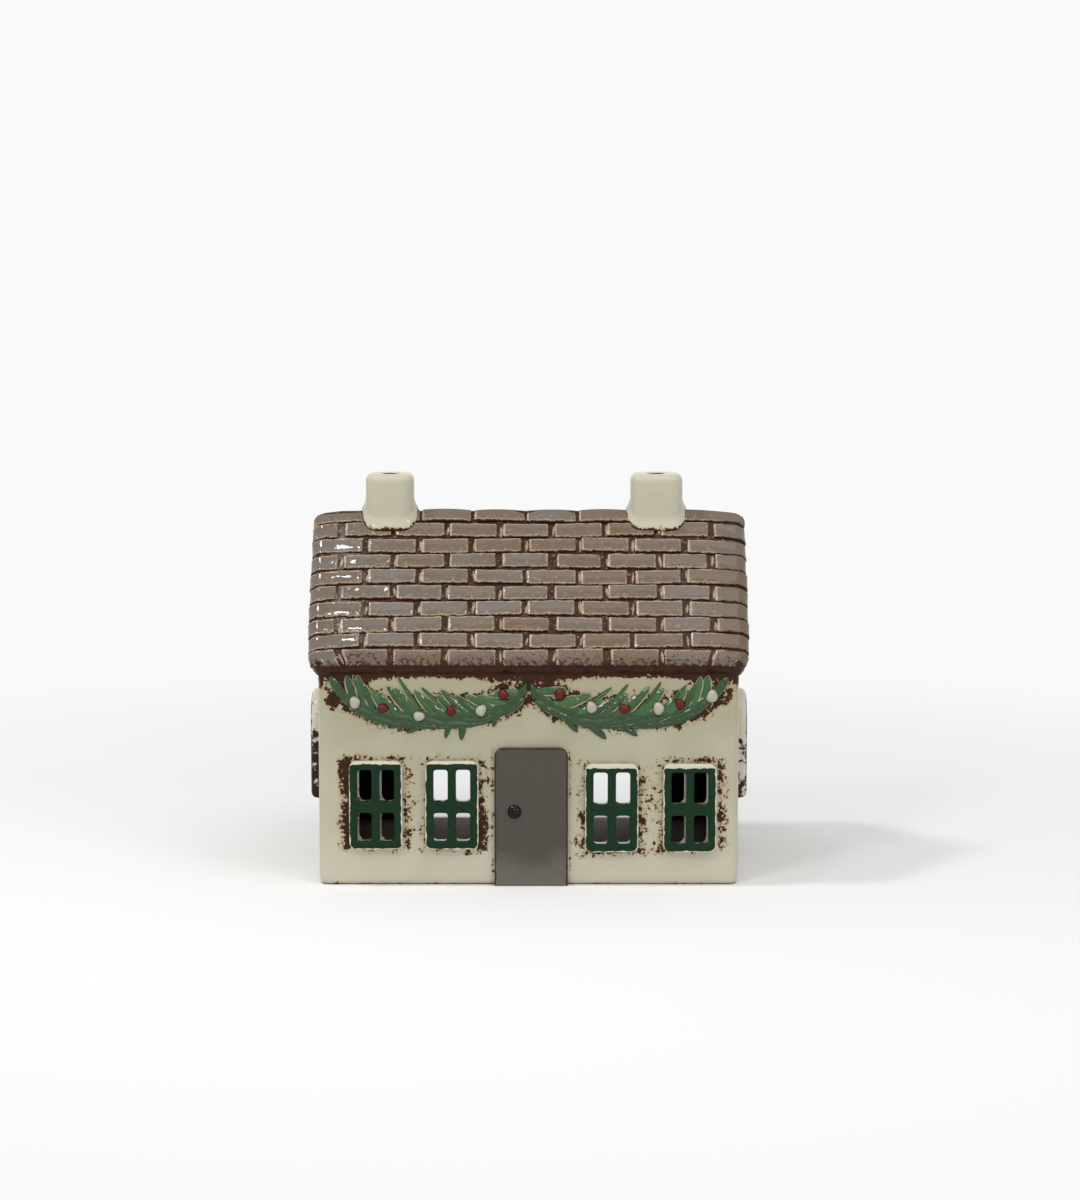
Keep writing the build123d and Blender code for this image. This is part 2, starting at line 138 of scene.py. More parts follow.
# Chimneys
CHIMNEY_VENT = 6.4 * MM
VENT_ZONE = 0.6 * CHIMNEY_VENT
CHIMNEY_CORNER = 4.5 * MM
CHIMNEY_CROWN = 2.4 * MM
CHIMNEY_SINK = 4 * MM
CHIMNEY_TAPER = 0.97
CHIMNEY_FLARE = 1.9 * MM
FLARE_HEIGHT = 5.0 * MM
CHIMNEY_VOXEL = 0.42 * MM

# Garland
GARLAND_DROP = 2.4 * MM
GARLAND_SAG = 12.2 * MM
GARLAND_END_INSET = 6.0 * MM
GARLAND_FULLNESS = 3.5
LEAF_LENGTH = 15.5 * MM
LEAF_WIDTH = 2.4 * MM
LEAF_BED = 0.4 * MM
LEAF_TOP_Z = EAVE_TOP_Z - 0.5 * MM
LEAF_END_X = HALF_WALL - 2.6 * MM
BERRY_HEIGHT = 1.5 * MM
BERRY_SEAT_Y = FRONT_Y - 1.5 * MM
BERRY_SPACING = 4.5 * MM
GARLAND_SEEDS = {"left_garland": 7, "right_garland": 11}
# Rows of leaves that grow from the stem: how many, the first one's place and the row's span along the swag,
# lowest and highest offset in millimetres, turn off the stem and its spread, length and width as shares of
# a leaf's, lift in millimetres
LEAF_ROWS = (
    (15, 0.04, 0.85, -2.4, -0.6, 0.74, 0.10, 1.0, 1.4, 0.3),
    (6, 0.10, 0.75, -1.0, 0.8, 0.80, 0.15, 1.02, 0.8, 0.15),
    (10, 0.02, 0.84, -4.0, -1.0, 0.12, 0.12, 0.85, 1.2, 0.6),
)
# The leaf that ends a swag: place, offset, turn, spread, length, width and lift
END_LEAF = (0.92, -2.2, 0.15, 0.0, 1.1, 1.35, 0.6)
LOWER_LEAF_LIFT = 0.1
# Leaves that hang below the stem: place along the swag, offset up in millimetres, turn off the stem,
# and length and width as shares of a leaf's
LOWER_LEAVES = {
    "left_garland": (
        (0.62, -2.2, -0.30, 0.60, 0.9), (0.51, -2.2, -0.38, 0.65, 0.9), (0.39, -1.6, -1.07, 0.52, 0.8),
        (0.325, -1.6, -1.26, 0.55, 1.0), (0.14, -2.0, -0.60, 0.50, 0.9)),
    "right_garland": (
        (0.16, -2.0, -0.36, 0.72, 1.1), (0.245, -0.8, -0.33, 0.98, 1.3), (0.42, -1.5, -0.50, 0.80, 1.1)),
}

# How strongly iron stains the wall round each window: left and right of its upper half, left and right of
# its lower half, above and below
WINDOW_STAINS = {
    "left_outer_window": (1.05, 0.52, 1.05, 0.72, 0.64, 0.40),
    "left_inner_window": (0.34, 0.66, 0.44, 0.95, 0.30, 0.38),
    "right_inner_window": (0.16, 0.62, 0.62, 0.66, 0.12, 0.66),
    "right_outer_window": (0.34, 0.74, 0.50, 0.70, 0.66, 0.34),
    "left_gable_window": (0.70, 0.70, 0.70, 0.70, 0.50, 0.60),
    "right_gable_window": (0.70, 0.70, 0.70, 0.70, 0.50, 0.60),
}
# Bare iron patches where the outer ends of the garland meet the wall's edge: place, reach and strength
BARE_PATCHES = ((-69.6 * MM, 66.6 * MM, 4.2 * MM, 1.0), (70.0 * MM, 67.5 * MM, 2.8 * MM, 0.7))

FRONT_WINDOWS = ("left_outer_window", "left_inner_window", "right_inner_window", "right_outer_window")
GABLE_WINDOWS = ("left_gable_window", "right_gable_window")

# Stage
LAMP_TARGET = Vector((0, 0, 0.07))
CAMERA_PLACE = (0.00406, -1.400, 0.285)
CAMERA_TILT = math.radians(82.32)
CAMERA_LENS = 115.3


# ---------------------------------------------------------------- modelling tools

def focus(piece):
    """Makes one piece the only selected and active object."""
    bpy.ops.object.select_all(action="DESELECT")
    piece.select_set(True)
    bpy.context.view_layer.objects.active = piece


def block(name, low, high):
    """Adds a cube that fills the box from low to high, its place in its mesh."""
    low = Vector(low)
    high = Vector(high)
    bpy.ops.object.select_all(action="DESELECT")
    bpy.ops.mesh.primitive_cube_add(size=1, location=(low + high) / 2)
    piece = bpy.context.object
    piece.name = name
    piece.scale = high - low
    settle()
    return piece


def pick(piece, kind, test):
    """Opens a piece in edit mode, selecting faces or edges whose middle and direction pass the test."""
    focus(piece)
    bpy.ops.object.mode_set(mode="EDIT")
    bpy.ops.mesh.select_mode(type=kind)
    bpy.ops.mesh.select_all(action="DESELECT")
    bpy.ops.object.mode_set(mode="OBJECT")
    mesh = piece.data
    if kind == "FACE":
        for face in mesh.polygons:
            face.select = test(face.center, face.normal)
    else:
        for edge in mesh.edges:
            a, b = (mesh.vertices[i].co for i in edge.vertices)
            edge.select = test((a + b) / 2, (b - a).normalized())
    bpy.ops.object.mode_set(mode="EDIT")


def pick_all(piece):
    """Opens a piece in edit mode with every face selected."""
    pick(piece, "FACE", lambda middle, facing: True)


def close_edit():
    """Goes back to object mode."""
    bpy.ops.object.mode_set(mode="OBJECT")


def settle():
    """Puts the place, turn and size of the selected piece into its mesh."""
    bpy.ops.object.transform_apply(location=True, rotation=True, scale=True)


def bevel(piece, test, width, segments):
    """Rounds the edges that pass the test."""
    pick(piece, "EDGE", test)
    bpy.ops.mesh.bevel(offset=width, segments=segments, affect="EDGES")
    close_edit()


def slice_off(piece, point, normal):
    """Cuts a piece at a plane, drops what lies beyond it and closes the cut."""
    pick_all(piece)
    bpy.ops.mesh.bisect(plane_co=point, plane_no=normal, use_fill=True, clear_outer=True)
    close_edit()


def score(piece, point, normal):
    """Draws a line of edges round a piece where a plane meets it."""
    pick_all(piece)
    bpy.ops.mesh.bisect(plane_co=point, plane_no=normal)
    close_edit()


def modify(piece, kind, **settings):
    """Adds one modifier with its settings and applies it."""
    focus(piece)
    modifier = piece.modifiers.new(kind.title(), kind)
    for key, value in settings.items():
        setattr(modifier, key, value)
    bpy.ops.object.modifier_apply(modifier=modifier.name)


def cut(piece, tool):
    """Takes the tool's shape out of a piece and removes the tool."""
    modify(piece, "BOOLEAN", object=tool, operation="DIFFERENCE", solver="EXACT")
    bpy.data.objects.remove(tool)


def relax(piece, voxel, rounds):
    """Gives a piece even faces and rounds its edges, as thick glaze rounds clay."""
    modify(piece, "REMESH", mode="VOXEL", voxel_size=voxel)
    modify(piece, "SMOOTH", factor=0.5, iterations=rounds)


def copy_of(piece, name):
    """Copies a piece with its own mesh."""
    twin = piece.copy()
    twin.data = piece.data.copy()
    twin.name = name
    bpy.context.scene.collection.objects.link(twin)
    return twin


def join(pieces, name):
    """Joins pieces into one mesh."""
    bpy.ops.object.select_all(action="DESELECT")
    for piece in pieces:
        piece.select_set(True)
    bpy.context.view_layer.objects.active = pieces[0]
    if len(pieces) > 1:
        bpy.ops.object.join()
    pieces[0].name = name
    return pieces[0]


def turn_about_z(piece, angle, x):
    """Turns a piece about the upright axis, slides it along X and puts its place back in its mesh."""
    focus(piece)
    piece.rotation_euler.z = angle
    piece.location.x = x
    settle()


def places(piece):
    """Vertex places of a piece as an array, one row each."""
    flat = np.empty(len(piece.data.vertices) * 3, np.float32)
    piece.data.vertices.foreach_get("co", flat)
    return flat.reshape(-1, 3).astype(float)


def move_to(piece, rows):
    """Puts the vertices of a piece at new places."""
    piece.data.vertices.foreach_set("co", np.asarray(rows, np.float32).ravel())
    piece.data.update()


def paint(piece, name, values):
    """Stores one number per vertex for a material to read."""
    layer = piece.data.attributes.get(name) or piece.data.attributes.new(name, "FLOAT", "POINT")
    layer.data.foreach_set("value", np.broadcast_to(values, len(piece.data.vertices)).astype(np.float32))


def faces_outward(piece):
    """Merges doubles and points every face outward."""
    pick_all(piece)
    bpy.ops.mesh.remove_doubles(threshold=0.001 * MM)
    bpy.ops.mesh.normals_make_consistent(inside=False)
    close_edit()


def done(piece, material, slot, *nodes, body="house"):
    """Finishes a piece: smooth shading, its material and its place in the frame."""
    focus(piece)
    bpy.ops.object.shade_smooth_by_angle(angle=math.radians(40))
    if not piece.data.materials:
        piece.data.materials.append(material)
    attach(piece, body)
    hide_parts(*nodes)


def smooth_step(low, high, values):
    """Eased ramp from 0 at low to 1 at high."""
    t = np.clip((values - low) / (high - low), 0, 1)
    return t * t * (3 - 2 * t)


# ---------------------------------------------------------------- materials

def linear(code):
    """Linear RGBA of an sRGB hex colour."""
    channels = [int(code[i:i + 2], 16) / 255 for i in (1, 3, 5)]
    return [c / 12.92 if c <= 0.04045 else ((c + 0.055) / 1.055) ** 2.4 for c in channels] + [1.0]


def put(tree, kind, inputs=None, **settings):
    """Adds one shader node with its settings; an input is a value or another node's output to link."""
    node = tree.nodes.new(kind)
    for key, value in settings.items():
        setattr(node, key, value)
    for key, value in (inputs or {}).items():
        if isinstance(value, bpy.types.NodeSocket):
            tree.links.new(value, node.inputs[key])
        else:
            node.inputs[key].default_value = value
    return node


def new_material(name, **constants):
    """Starts a material: node tree, shader with constant inputs, and Object coordinates in millimetres."""
    material = bpy.data.materials.new(name)
    material.use_nodes = True
    tree = material.node_tree
    surface = tree.nodes["Principled BSDF"]
    for key, value in constants.items():
        surface.inputs[key.replace("_", " ")].default_value = value
    spot = put(tree, "ShaderNodeTexCoord").outputs["Object"]
    spot = put(tree, "ShaderNodeMapping", {"Vector": spot, "Scale": (1 / MM, 1 / MM, 1 / MM)}).outputs[0]
    return material, tree, surface, spot


def put_links(tree, surface, links):
    """Links finished patterns to the shader."""
    for key, output in links.items():
        tree.links.new(output, surface.inputs[key])


def tin_glaze(name, pale, deep):
    """Dipped cream tin glaze over iron-bearing stoneware: glossy and softly uneven, darker up the walls
    towards the eave as painted shade, broken to ragged brown speckle where it ran thin beside every relief."""
    material, tree, surface, spot = new_material(name, IOR=1.5, Specular_IOR_Level=0.18)
    stain = put(tree, "ShaderNodeAttribute", attribute_name="stain").outputs["Fac"]
    cloud = put(tree, "ShaderNodeTexNoise", {"Vector": spot, "Scale": 1 / 16, "Detail": 2}).outputs["Fac"]
    patch = put(tree, "ShaderNodeTexNoise", {"Vector": spot, "Scale": 1 / 7, "Detail": 2}).outputs["Fac"]
    mottle = put(tree, "ShaderNodeTexNoise", {
        "Vector": spot, "Scale": 1 / 1.7, "Detail": 3, "Roughness": 0.6}).outputs["Fac"]
    grit = put(tree, "ShaderNodeTexNoise", {"Vector": spot, "Scale": 1 / 0.8, "Detail": 2}).outputs["Fac"]
    reach = put(tree, "ShaderNodeMath", {0: patch, 1: 1.1, 2: stain}, operation="MULTIPLY_ADD").outputs[0]
    reach = put(tree, "ShaderNodeMath", {0: mottle, 1: 1.5, 2: reach}, operation="MULTIPLY_ADD").outputs[0]
    reach = put(tree, "ShaderNodeMath", {0: grit, 1: 1.1, 2: reach}, operation="MULTIPLY_ADD").outputs[0]
    plain = put(tree, "ShaderNodeMapRange", {
        "Value": stain, "From Max": 0.08, "To Min": -0.3, "To Max": 0}).outputs[0]
    reach = put(tree, "ShaderNodeMath", {0: reach, 1: plain}, operation="ADD").outputs[0]
    halo = put(tree, "ShaderNodeMapRange", {
        "Value": reach, "From Min": 2.12, "From Max": 2.45, "To Max": 0.75},
        interpolation_type="SMOOTHSTEP").outputs[0]
    break_through = put(tree, "ShaderNodeMapRange", {
        "Value": reach, "From Min": 2.36, "From Max": 2.46}, interpolation_type="SMOOTHSTEP").outputs[0]
    # Paler at the foot of the walls and darker towards the eave: painted shade over the glaze's random
    # clouding. The chimney stacks are turned back paler.
    height = put(tree, "ShaderNodeSeparateXYZ", {"Vector": spot}).outputs["Z"]
    cloud_and_height_shade = put(tree, "ShaderNodeMath", {0: cloud, 1: 50.0, 2: height}, operation="MULTIPLY_ADD").outputs[0]
    cloud_and_height_shade = put(tree, "ShaderNodeMapRange", {"Value": cloud_and_height_shade, "From Min": 28, "From Max": 88}).outputs[0]
    stack = put(tree, "ShaderNodeMapRange", {
        "Value": height, "From Min": 100, "From Max": 125, "To Max": -0.75}).outputs[0]
    cloud_and_height_shade = put(tree, "ShaderNodeMath", {0: cloud_and_height_shade, 1: stack}, operation="ADD").outputs[0]
    cream = put(tree, "ShaderNodeMix", {
        0: cloud_and_height_shade, 6: linear(pale), 7: linear(deep)}, data_type="RGBA").outputs[2]
    tan = put(tree, "ShaderNodeMix", {0: halo, 6: cream, 7: linear("#a5834e")}, data_type="RGBA").outputs[2]
    iron = put(tree, "ShaderNodeMix", {
        0: mottle, 6: linear("#48250b"), 7: linear("#1d0d03")}, data_type="RGBA").outputs[2]
    # Darkest iron: bare patches, and painted shade inside the house and down the chimney vents
    bare = put(tree, "ShaderNodeMapRange", {"Value": stain, "From Min": 0.95, "From Max": 1.25}).outputs[0]
    iron = put(tree, "ShaderNodeMix", {0: bare, 6: iron, 7: linear("#1f0f06")}, data_type="RGBA").outputs[2]
    colour = put(tree, "ShaderNodeMix", {0: break_through, 6: tan, 7: iron}, data_type="RGBA").outputs[2]
    gloss = put(tree, "ShaderNodeMapRange", {
        "Value": break_through, "To Min": 0.14, "To Max": 0.4}).outputs[0]
    ripple = put(tree, "ShaderNodeTexNoise", {"Vector": spot, "Scale": 1 / 7, "Detail": 3}).outputs["Fac"]
    dent = put(tree, "ShaderNodeMath", {
        0: break_through, 1: -0.25, 2: ripple}, operation="MULTIPLY_ADD").outputs[0]
    bump = put(tree, "ShaderNodeBump", {"Height": dent, "Strength": 0.5, "Distance": 0.6 * MM}).outputs[0]
    put_links(tree, surface, {"Base Color": colour, "Roughness": gloss, "Normal": bump})
    return material


def roof_glaze():
    """Glossy taupe glaze pooled grey on each tile: it thins to pale beige at the tile's rim and leaves ragged
    iron brown in the joints. Where the rim is strongest, at a tile's left end and a lip's right side, it is
    painted near white as a highlight."""
    material, tree, surface, spot = new_material("taupe_roof_glaze", IOR=1.5, Specular_IOR_Level=0.25)
    tone, rim, joint = (
        put(tree, "ShaderNodeAttribute", attribute_name=key).outputs["Fac"]
        for key in ("tone", "rim", "joint"))
    cloud = put(tree, "ShaderNodeTexNoise", {"Vector": spot, "Scale": 1 / 22, "Detail": 3}).outputs["Fac"]
    mottle = put(tree, "ShaderNodeTexNoise", {
        "Vector": spot, "Scale": 1 / 1.5, "Detail": 4, "Roughness": 0.65}).outputs["Fac"]
    grit = put(tree, "ShaderNodeTexNoise", {"Vector": spot, "Scale": 1 / 0.55, "Detail": 2}).outputs["Fac"]
    hue = put(tree, "ShaderNodeMath", {0: cloud, 1: tone}, operation="ADD").outputs[0]
    along = put(tree, "ShaderNodeSeparateXYZ", {"Vector": spot}).outputs["X"]
    hue = put(tree, "ShaderNodeMath", {0: along, 1: 0.0016, 2: hue}, operation="MULTIPLY_ADD").outputs[0]
    hue = put(tree, "ShaderNodeMapRange", {"Value": hue, "From Min": 0.55, "From Max": 1.4}).outputs[0]
    pooled = put(tree, "ShaderNodeMix", {
        0: hue, 6: linear("#6e6b67"), 7: linear("#6b5946")}, data_type="RGBA").outputs[2]
    thin = put(tree, "ShaderNodeMath", {0: mottle, 1: 2.0, 2: rim}, operation="MULTIPLY_ADD").outputs[0]
    # Near-white painted highlight where the rim runs strongest
    painted_glint = put(tree, "ShaderNodeMapRange", {
        "Value": thin, "From Min": 2.3, "From Max": 2.6, "To Max": 0.8},
        interpolation_type="SMOOTHSTEP").outputs[0]
    thin = put(tree, "ShaderNodeMapRange", {
        "Value": thin, "From Min": 1.42, "From Max": 2.05, "To Max": 0.95},
        interpolation_type="SMOOTHSTEP").outputs[0]
    beige = put(tree, "ShaderNodeMix", {
        0: thin, 6: pooled, 7: linear("#a8937a")}, data_type="RGBA").outputs[2]
    beige = put(tree, "ShaderNodeMix", {
        0: painted_glint, 6: beige, 7: linear("#d3c9ba")}, data_type="RGBA").outputs[2]
    ragged = put(tree, "ShaderNodeMath", {0: mottle, 1: 1.8, 2: joint}, operation="MULTIPLY_ADD").outputs[0]
    ragged = put(tree, "ShaderNodeMath", {0: grit, 1: 0.7, 2: ragged}, operation="MULTIPLY_ADD").outputs[0]
    sunk = put(tree, "ShaderNodeMapRange", {
        "Value": ragged, "From Min": 1.66, "From Max": 1.9}, interpolation_type="SMOOTHSTEP").outputs[0]
    iron = put(tree, "ShaderNodeMix", {
        0: grit, 6: linear("#1d0b03"), 7: linear("#44220d")}, data_type="RGBA").outputs[2]
    colour = put(tree, "ShaderNodeMix", {0: sunk, 6: beige, 7: iron}, data_type="RGBA").outputs[2]
    gloss = put(tree, "ShaderNodeMapRange", {"Value": sunk, "To Min": 0.07, "To Max": 0.25}).outputs[0]
    swell = put(tree, "ShaderNodeTexNoise", {"Vector": spot, "Scale": 1 / 4.5, "Detail": 1}).outputs["Fac"]
    bump = put(tree, "ShaderNodeBump", {"Height": swell, "Strength": 0.25, "Distance": 0.6 * MM}).outputs[0]
    put_links(tree, surface, {"Base Color": colour, "Roughness": gloss, "Normal": bump})
    return material


def joint_wash():
    """Iron-rich clay left bare in tile joints and along the eave: dark red brown, flecked with pale glaze."""
    material, tree, surface, spot = new_material(
        "iron_brown_joints", IOR=1.5, Roughness=0.16, Specular_IOR_Level=0.13)
    fleck = put(tree, "ShaderNodeTexNoise", {
        "Vector": spot, "Scale": 1 / 1.3, "Detail": 3, "Roughness": 0.6}).outputs["Fac"]
    cloud = put(tree, "ShaderNodeTexNoise", {"Vector": spot, "Scale": 1 / 4, "Detail": 3}).outputs["Fac"]
    iron = put(tree, "ShaderNodeMix", {
        0: cloud, 6: linear("#1c0c05"), 7: linear("#472a1a")}, data_type="RGBA").outputs[2]
    height = put(tree, "ShaderNodeSeparateXYZ", {"Vector": spot}).outputs["Z"]
    above_eave = put(tree, "ShaderNodeMapRange", {
        "Value": height, "From Min": 79, "From Max": 84, "To Min": -0.1, "To Max": 0}).outputs[0]
    fleck = put(tree, "ShaderNodeMath", {0: fleck, 1: above_eave}, operation="ADD").outputs[0]
    glaze = put(tree, "ShaderNodeMapRange", {
        "Value": fleck, "From Min": 0.58, "From Max": 0.66, "To Max": 0.7}).outputs[0]
    colour = put(tree, "ShaderNodeMix", {
        0: glaze, 6: iron, 7: linear("#8c7b68")}, data_type="RGBA").outputs[2]
    bump = put(tree, "ShaderNodeBump", {"Height": cloud, "Strength": 0.35, "Distance": 0.6 * MM}).outputs[0]
    put_links(tree, surface, {"Base Color": colour, "Normal": bump})
    return material


def frame_glaze():
    """Copper green glaze brushed on the raised face of a window: glossy and dark, its sides left cream and its
    foot stained."""
    material, tree, surface, spot = new_material(
        "copper_green_glaze", IOR=1.5, Roughness=0.08, Specular_IOR_Level=0.16)
    face, stain = (
        put(tree, "ShaderNodeAttribute", attribute_name=key).outputs["Fac"]
        for key in ("face", "stain"))
    mottle = put(tree, "ShaderNodeTexNoise", {"Vector": spot, "Scale": 1 / 2.5, "Detail": 3}).outputs["Fac"]
    grit = put(tree, "ShaderNodeTexNoise", {"Vector": spot, "Scale": 1 / 0.8, "Detail": 2}).outputs["Fac"]
    brushed = put(tree, "ShaderNodeMath", {0: mottle, 1: 1.5, 2: face}, operation="MULTIPLY_ADD").outputs[0]
    brushed = put(tree, "ShaderNodeMapRange", {
        "Value": brushed, "From Min": 1.2, "From Max": 1.34}, interpolation_type="SMOOTHSTEP").outputs[0]
    reach = put(tree, "ShaderNodeMath", {0: grit, 1: 0.5, 2: stain}, operation="MULTIPLY_ADD").outputs[0]
    reach = put(tree, "ShaderNodeMath", {0: mottle, 1: 1.6, 2: reach}, operation="MULTIPLY_ADD").outputs[0]
    foot = put(tree, "ShaderNodeMapRange", {
        "Value": reach, "From Min": 1.5, "From Max": 1.68}, interpolation_type="SMOOTHSTEP").outputs[0]
    side = put(tree, "ShaderNodeMix", {
        0: foot, 6: linear("#d2ccba"), 7: linear("#2f1a0e")}, data_type="RGBA").outputs[2]
    green = put(tree, "ShaderNodeMix", {
        0: mottle, 6: linear("#08210f"), 7: linear("#11381e")}, data_type="RGBA").outputs[2]
    colour = put(tree, "ShaderNodeMix", {0: brushed, 6: side, 7: green}, data_type="RGBA").outputs[2]
    swell = put(tree, "ShaderNodeTexNoise", {"Vector": spot, "Scale": 1 / 5, "Detail": 1}).outputs["Fac"]
    bump = put(tree, "ShaderNodeBump", {"Height": swell, "Strength": 0.5, "Distance": 0.6 * MM}).outputs[0]
    put_links(tree, surface, {"Base Color": colour, "Normal": bump})
    return material


def door_glaze():
    """Grey glaze on the door panel: paler towards the foot as painted light, brown where it thins at the edge.
    """
    material, tree, surface, spot = new_material(
        "grey_door_glaze", IOR=1.5, Roughness=0.16, Specular_IOR_Level=0.3)
    rim = put(tree, "ShaderNodeAttribute", attribute_name="rim").outputs["Fac"]
    cloud = put(tree, "ShaderNodeTexNoise", {"Vector": spot, "Scale": 1 / 11, "Detail": 3}).outputs["Fac"]
    mottle = put(tree, "ShaderNodeTexNoise", {"Vector": spot, "Scale": 1 / 1.5, "Detail": 4}).outputs["Fac"]
    height = put(tree, "ShaderNodeSeparateXYZ", {"Vector": spot}).outputs["Z"]
    # Paler grey at the foot of the door: painted light, clouded a little
    painted_foot_light = put(tree, "ShaderNodeMath", {0: cloud, 1: 14.0, 2: height}, operation="MULTIPLY_ADD").outputs[0]
    painted_foot_light = put(tree, "ShaderNodeMapRange", {
        "Value": painted_foot_light, "From Min": 22, "From Max": 9}, interpolation_type="SMOOTHSTEP").outputs[0]
    grey = put(tree, "ShaderNodeMix", {
        0: painted_foot_light, 6: linear("#4b463f"), 7: linear("#68635c")}, data_type="RGBA").outputs[2]
    thin = put(tree, "ShaderNodeMath", {0: mottle, 1: 1.2, 2: rim}, operation="MULTIPLY_ADD").outputs[0]
    thin = put(tree, "ShaderNodeMapRange", {
        "Value": thin, "From Min": 1.04, "From Max": 1.3}, interpolation_type="SMOOTHSTEP").outputs[0]
    colour = put(tree, "ShaderNodeMix", {0: thin, 6: grey, 7: linear("#3a1c0b")}, data_type="RGBA").outputs[2]
    bump = put(tree, "ShaderNodeBump", {"Height": cloud, "Strength": 0.35, "Distance": 0.8 * MM}).outputs[0]
    put_links(tree, surface, {"Base Color": colour, "Normal": bump})
    return material


def leaf_glaze():
    """Green glaze over carved leaves: it thins to pale cream on a leaf's edges and tip, runs darker on the
    band and the lower leaves, partly as painted shade, and breaks to brown at the foot."""
    material, tree, surface, spot = new_material(
        "leaf_green_glaze", IOR=1.5, Roughness=0.08, Specular_IOR_Level=0.45)
    rim, tone, stain = (
        put(tree, "ShaderNodeAttribute", attribute_name=key).outputs["Fac"]
        for key in ("rim", "tone", "stain"))
    mottle = put(tree, "ShaderNodeTexNoise", {"Vector": spot, "Scale": 1 / 1.4, "Detail": 4}).outputs["Fac"]
    grit = put(tree, "ShaderNodeTexNoise", {"Vector": spot, "Scale": 1 / 0.7, "Detail": 2}).outputs["Fac"]
    shade = put(tree, "ShaderNodeMath", {0: mottle, 1: 0.6, 2: tone}, operation="MULTIPLY_ADD").outputs[0]
    shade = put(tree, "ShaderNodeMapRange", {"Value": shade, "From Min": 0.2, "From Max": 1.2}).outputs[0]
    green = put(tree, "ShaderNodeMix", {
        0: shade, 6: linear("#1f3a1a"), 7: linear("#3a6534")}, data_type="RGBA").outputs[2]
    thin = put(tree, "ShaderNodeMath", {0: mottle, 1: 0.5, 2: rim}, operation="MULTIPLY_ADD").outputs[0]
    thin = put(tree, "ShaderNodeMapRange", {
        "Value": thin, "From Min": 0.85, "From Max": 1.15, "To Max": 0.85},
        interpolation_type="SMOOTHSTEP").outputs[0]
    outlined = put(tree, "ShaderNodeMix", {
        0: thin, 6: green, 7: linear("#bdb188")}, data_type="RGBA").outputs[2]
    reach = put(tree, "ShaderNodeMath", {0: grit, 1: 0.9, 2: stain}, operation="MULTIPLY_ADD").outputs[0]
    foot = put(tree, "ShaderNodeMapRange", {
        "Value": reach, "From Min": 0.95, "From Max": 1.2}, interpolation_type="SMOOTHSTEP").outputs[0]
    colour = put(tree, "ShaderNodeMix", {
        0: foot, 6: outlined, 7: linear("#3d2517")}, data_type="RGBA").outputs[2]
    swell = put(tree, "ShaderNodeTexNoise", {"Vector": spot, "Scale": 1 / 2.5, "Detail": 1}).outputs["Fac"]
    bump = put(tree, "ShaderNodeBump", {"Height": swell, "Strength": 0.5, "Distance": 0.5 * MM}).outputs[0]
    put_links(tree, surface, {"Base Color": colour, "Normal": bump})
    return material


def dab_glaze(name, pale, deep, roughness, shine):
    """A thick dab of coloured glaze: deeper where it pools round the foot, paler on the crown."""
    material, tree, surface, spot = new_material(name, IOR=1.5, Roughness=roughness, Specular_IOR_Level=shine)
    stain = put(tree, "ShaderNodeAttribute", attribute_name="stain").outputs["Fac"]
    mottle = put(tree, "ShaderNodeTexNoise", {"Vector": spot, "Scale": 1 / 1.1, "Detail": 3}).outputs["Fac"]
    shade = put(tree, "ShaderNodeMath", {0: mottle, 1: 0.6, 2: stain}, operation="MULTIPLY_ADD").outputs[0]
    shade = put(tree, "ShaderNodeMapRange", {"Value": shade, "From Min": 0.25, "From Max": 1.1}).outputs[0]
    colour = put(tree, "ShaderNodeMix", {
        0: shade, 6: linear(pale), 7: linear(deep)}, data_type="RGBA").outputs[2]
    bump = put(tree, "ShaderNodeBump", {"Height": mottle, "Strength": 0.1, "Distance": 0.3 * MM}).outputs[0]
    put_links(tree, surface, {"Base Color": colour, "Normal": bump})
    return material


def bare_stoneware():
    """Fired stoneware left unglazed inside and below: matt warm buff with iron specks."""
    material, tree, surface, spot = new_material("bare_fired_stoneware", IOR=1.45, Roughness=0.85)
    cloud = put(tree, "ShaderNodeTexNoise", {"Vector": spot, "Scale": 1 / 12, "Detail": 3}).outputs["Fac"]
    specks = put(tree, "ShaderNodeTexNoise", {"Vector": spot, "Scale": 1 / 0.8, "Detail": 2}).outputs["Fac"]
    speck = put(tree, "ShaderNodeMapRange", {
        "Value": specks, "From Min": 0.66, "From Max": 0.74, "To Max": 0.7}).outputs[0]
    clay = put(tree, "ShaderNodeMix", {
        0: cloud, 6: linear("#8f8277"), 7: linear("#766a60")}, data_type="RGBA").outputs[2]
    colour = put(tree, "ShaderNodeMix", {
        0: speck, 6: clay, 7: linear("#4b382c")}, data_type="RGBA").outputs[2]
    bump = put(tree, "ShaderNodeBump", {"Height": specks, "Strength": 0.4, "Distance": 0.2 * MM}).outputs[0]
    put_links(tree, surface, {"Base Color": colour, "Normal": bump})
    return material


def pressed_metal(name, colour, roughness, grain):
    """Thin pressed metal whose faint drawing marks scatter its gloss; drawn coarser than real, to show."""
    material, tree, surface, spot = new_material(name, Metallic=1.0)
    marks = put(tree, "ShaderNodeTexNoise", {"Vector": spot, "Scale": 1 / grain, "Detail": 3}).outputs["Fac"]
    gloss = put(tree, "ShaderNodeMapRange", {
        "Value": marks, "To Min": roughness - 0.1, "To Max": roughness + 0.1}).outputs[0]
    tint = put(tree, "ShaderNodeMix", {
        0: marks, 6: linear(colour), 7: linear("#c9cacb")}, data_type="RGBA").outputs[2]
    bump = put(tree, "ShaderNodeBump", {"Height": marks, "Strength": 0.15, "Distance": 0.2 * MM}).outputs[0]
    put_links(tree, surface, {"Base Color": tint, "Roughness": gloss, "Normal": bump})
    return material


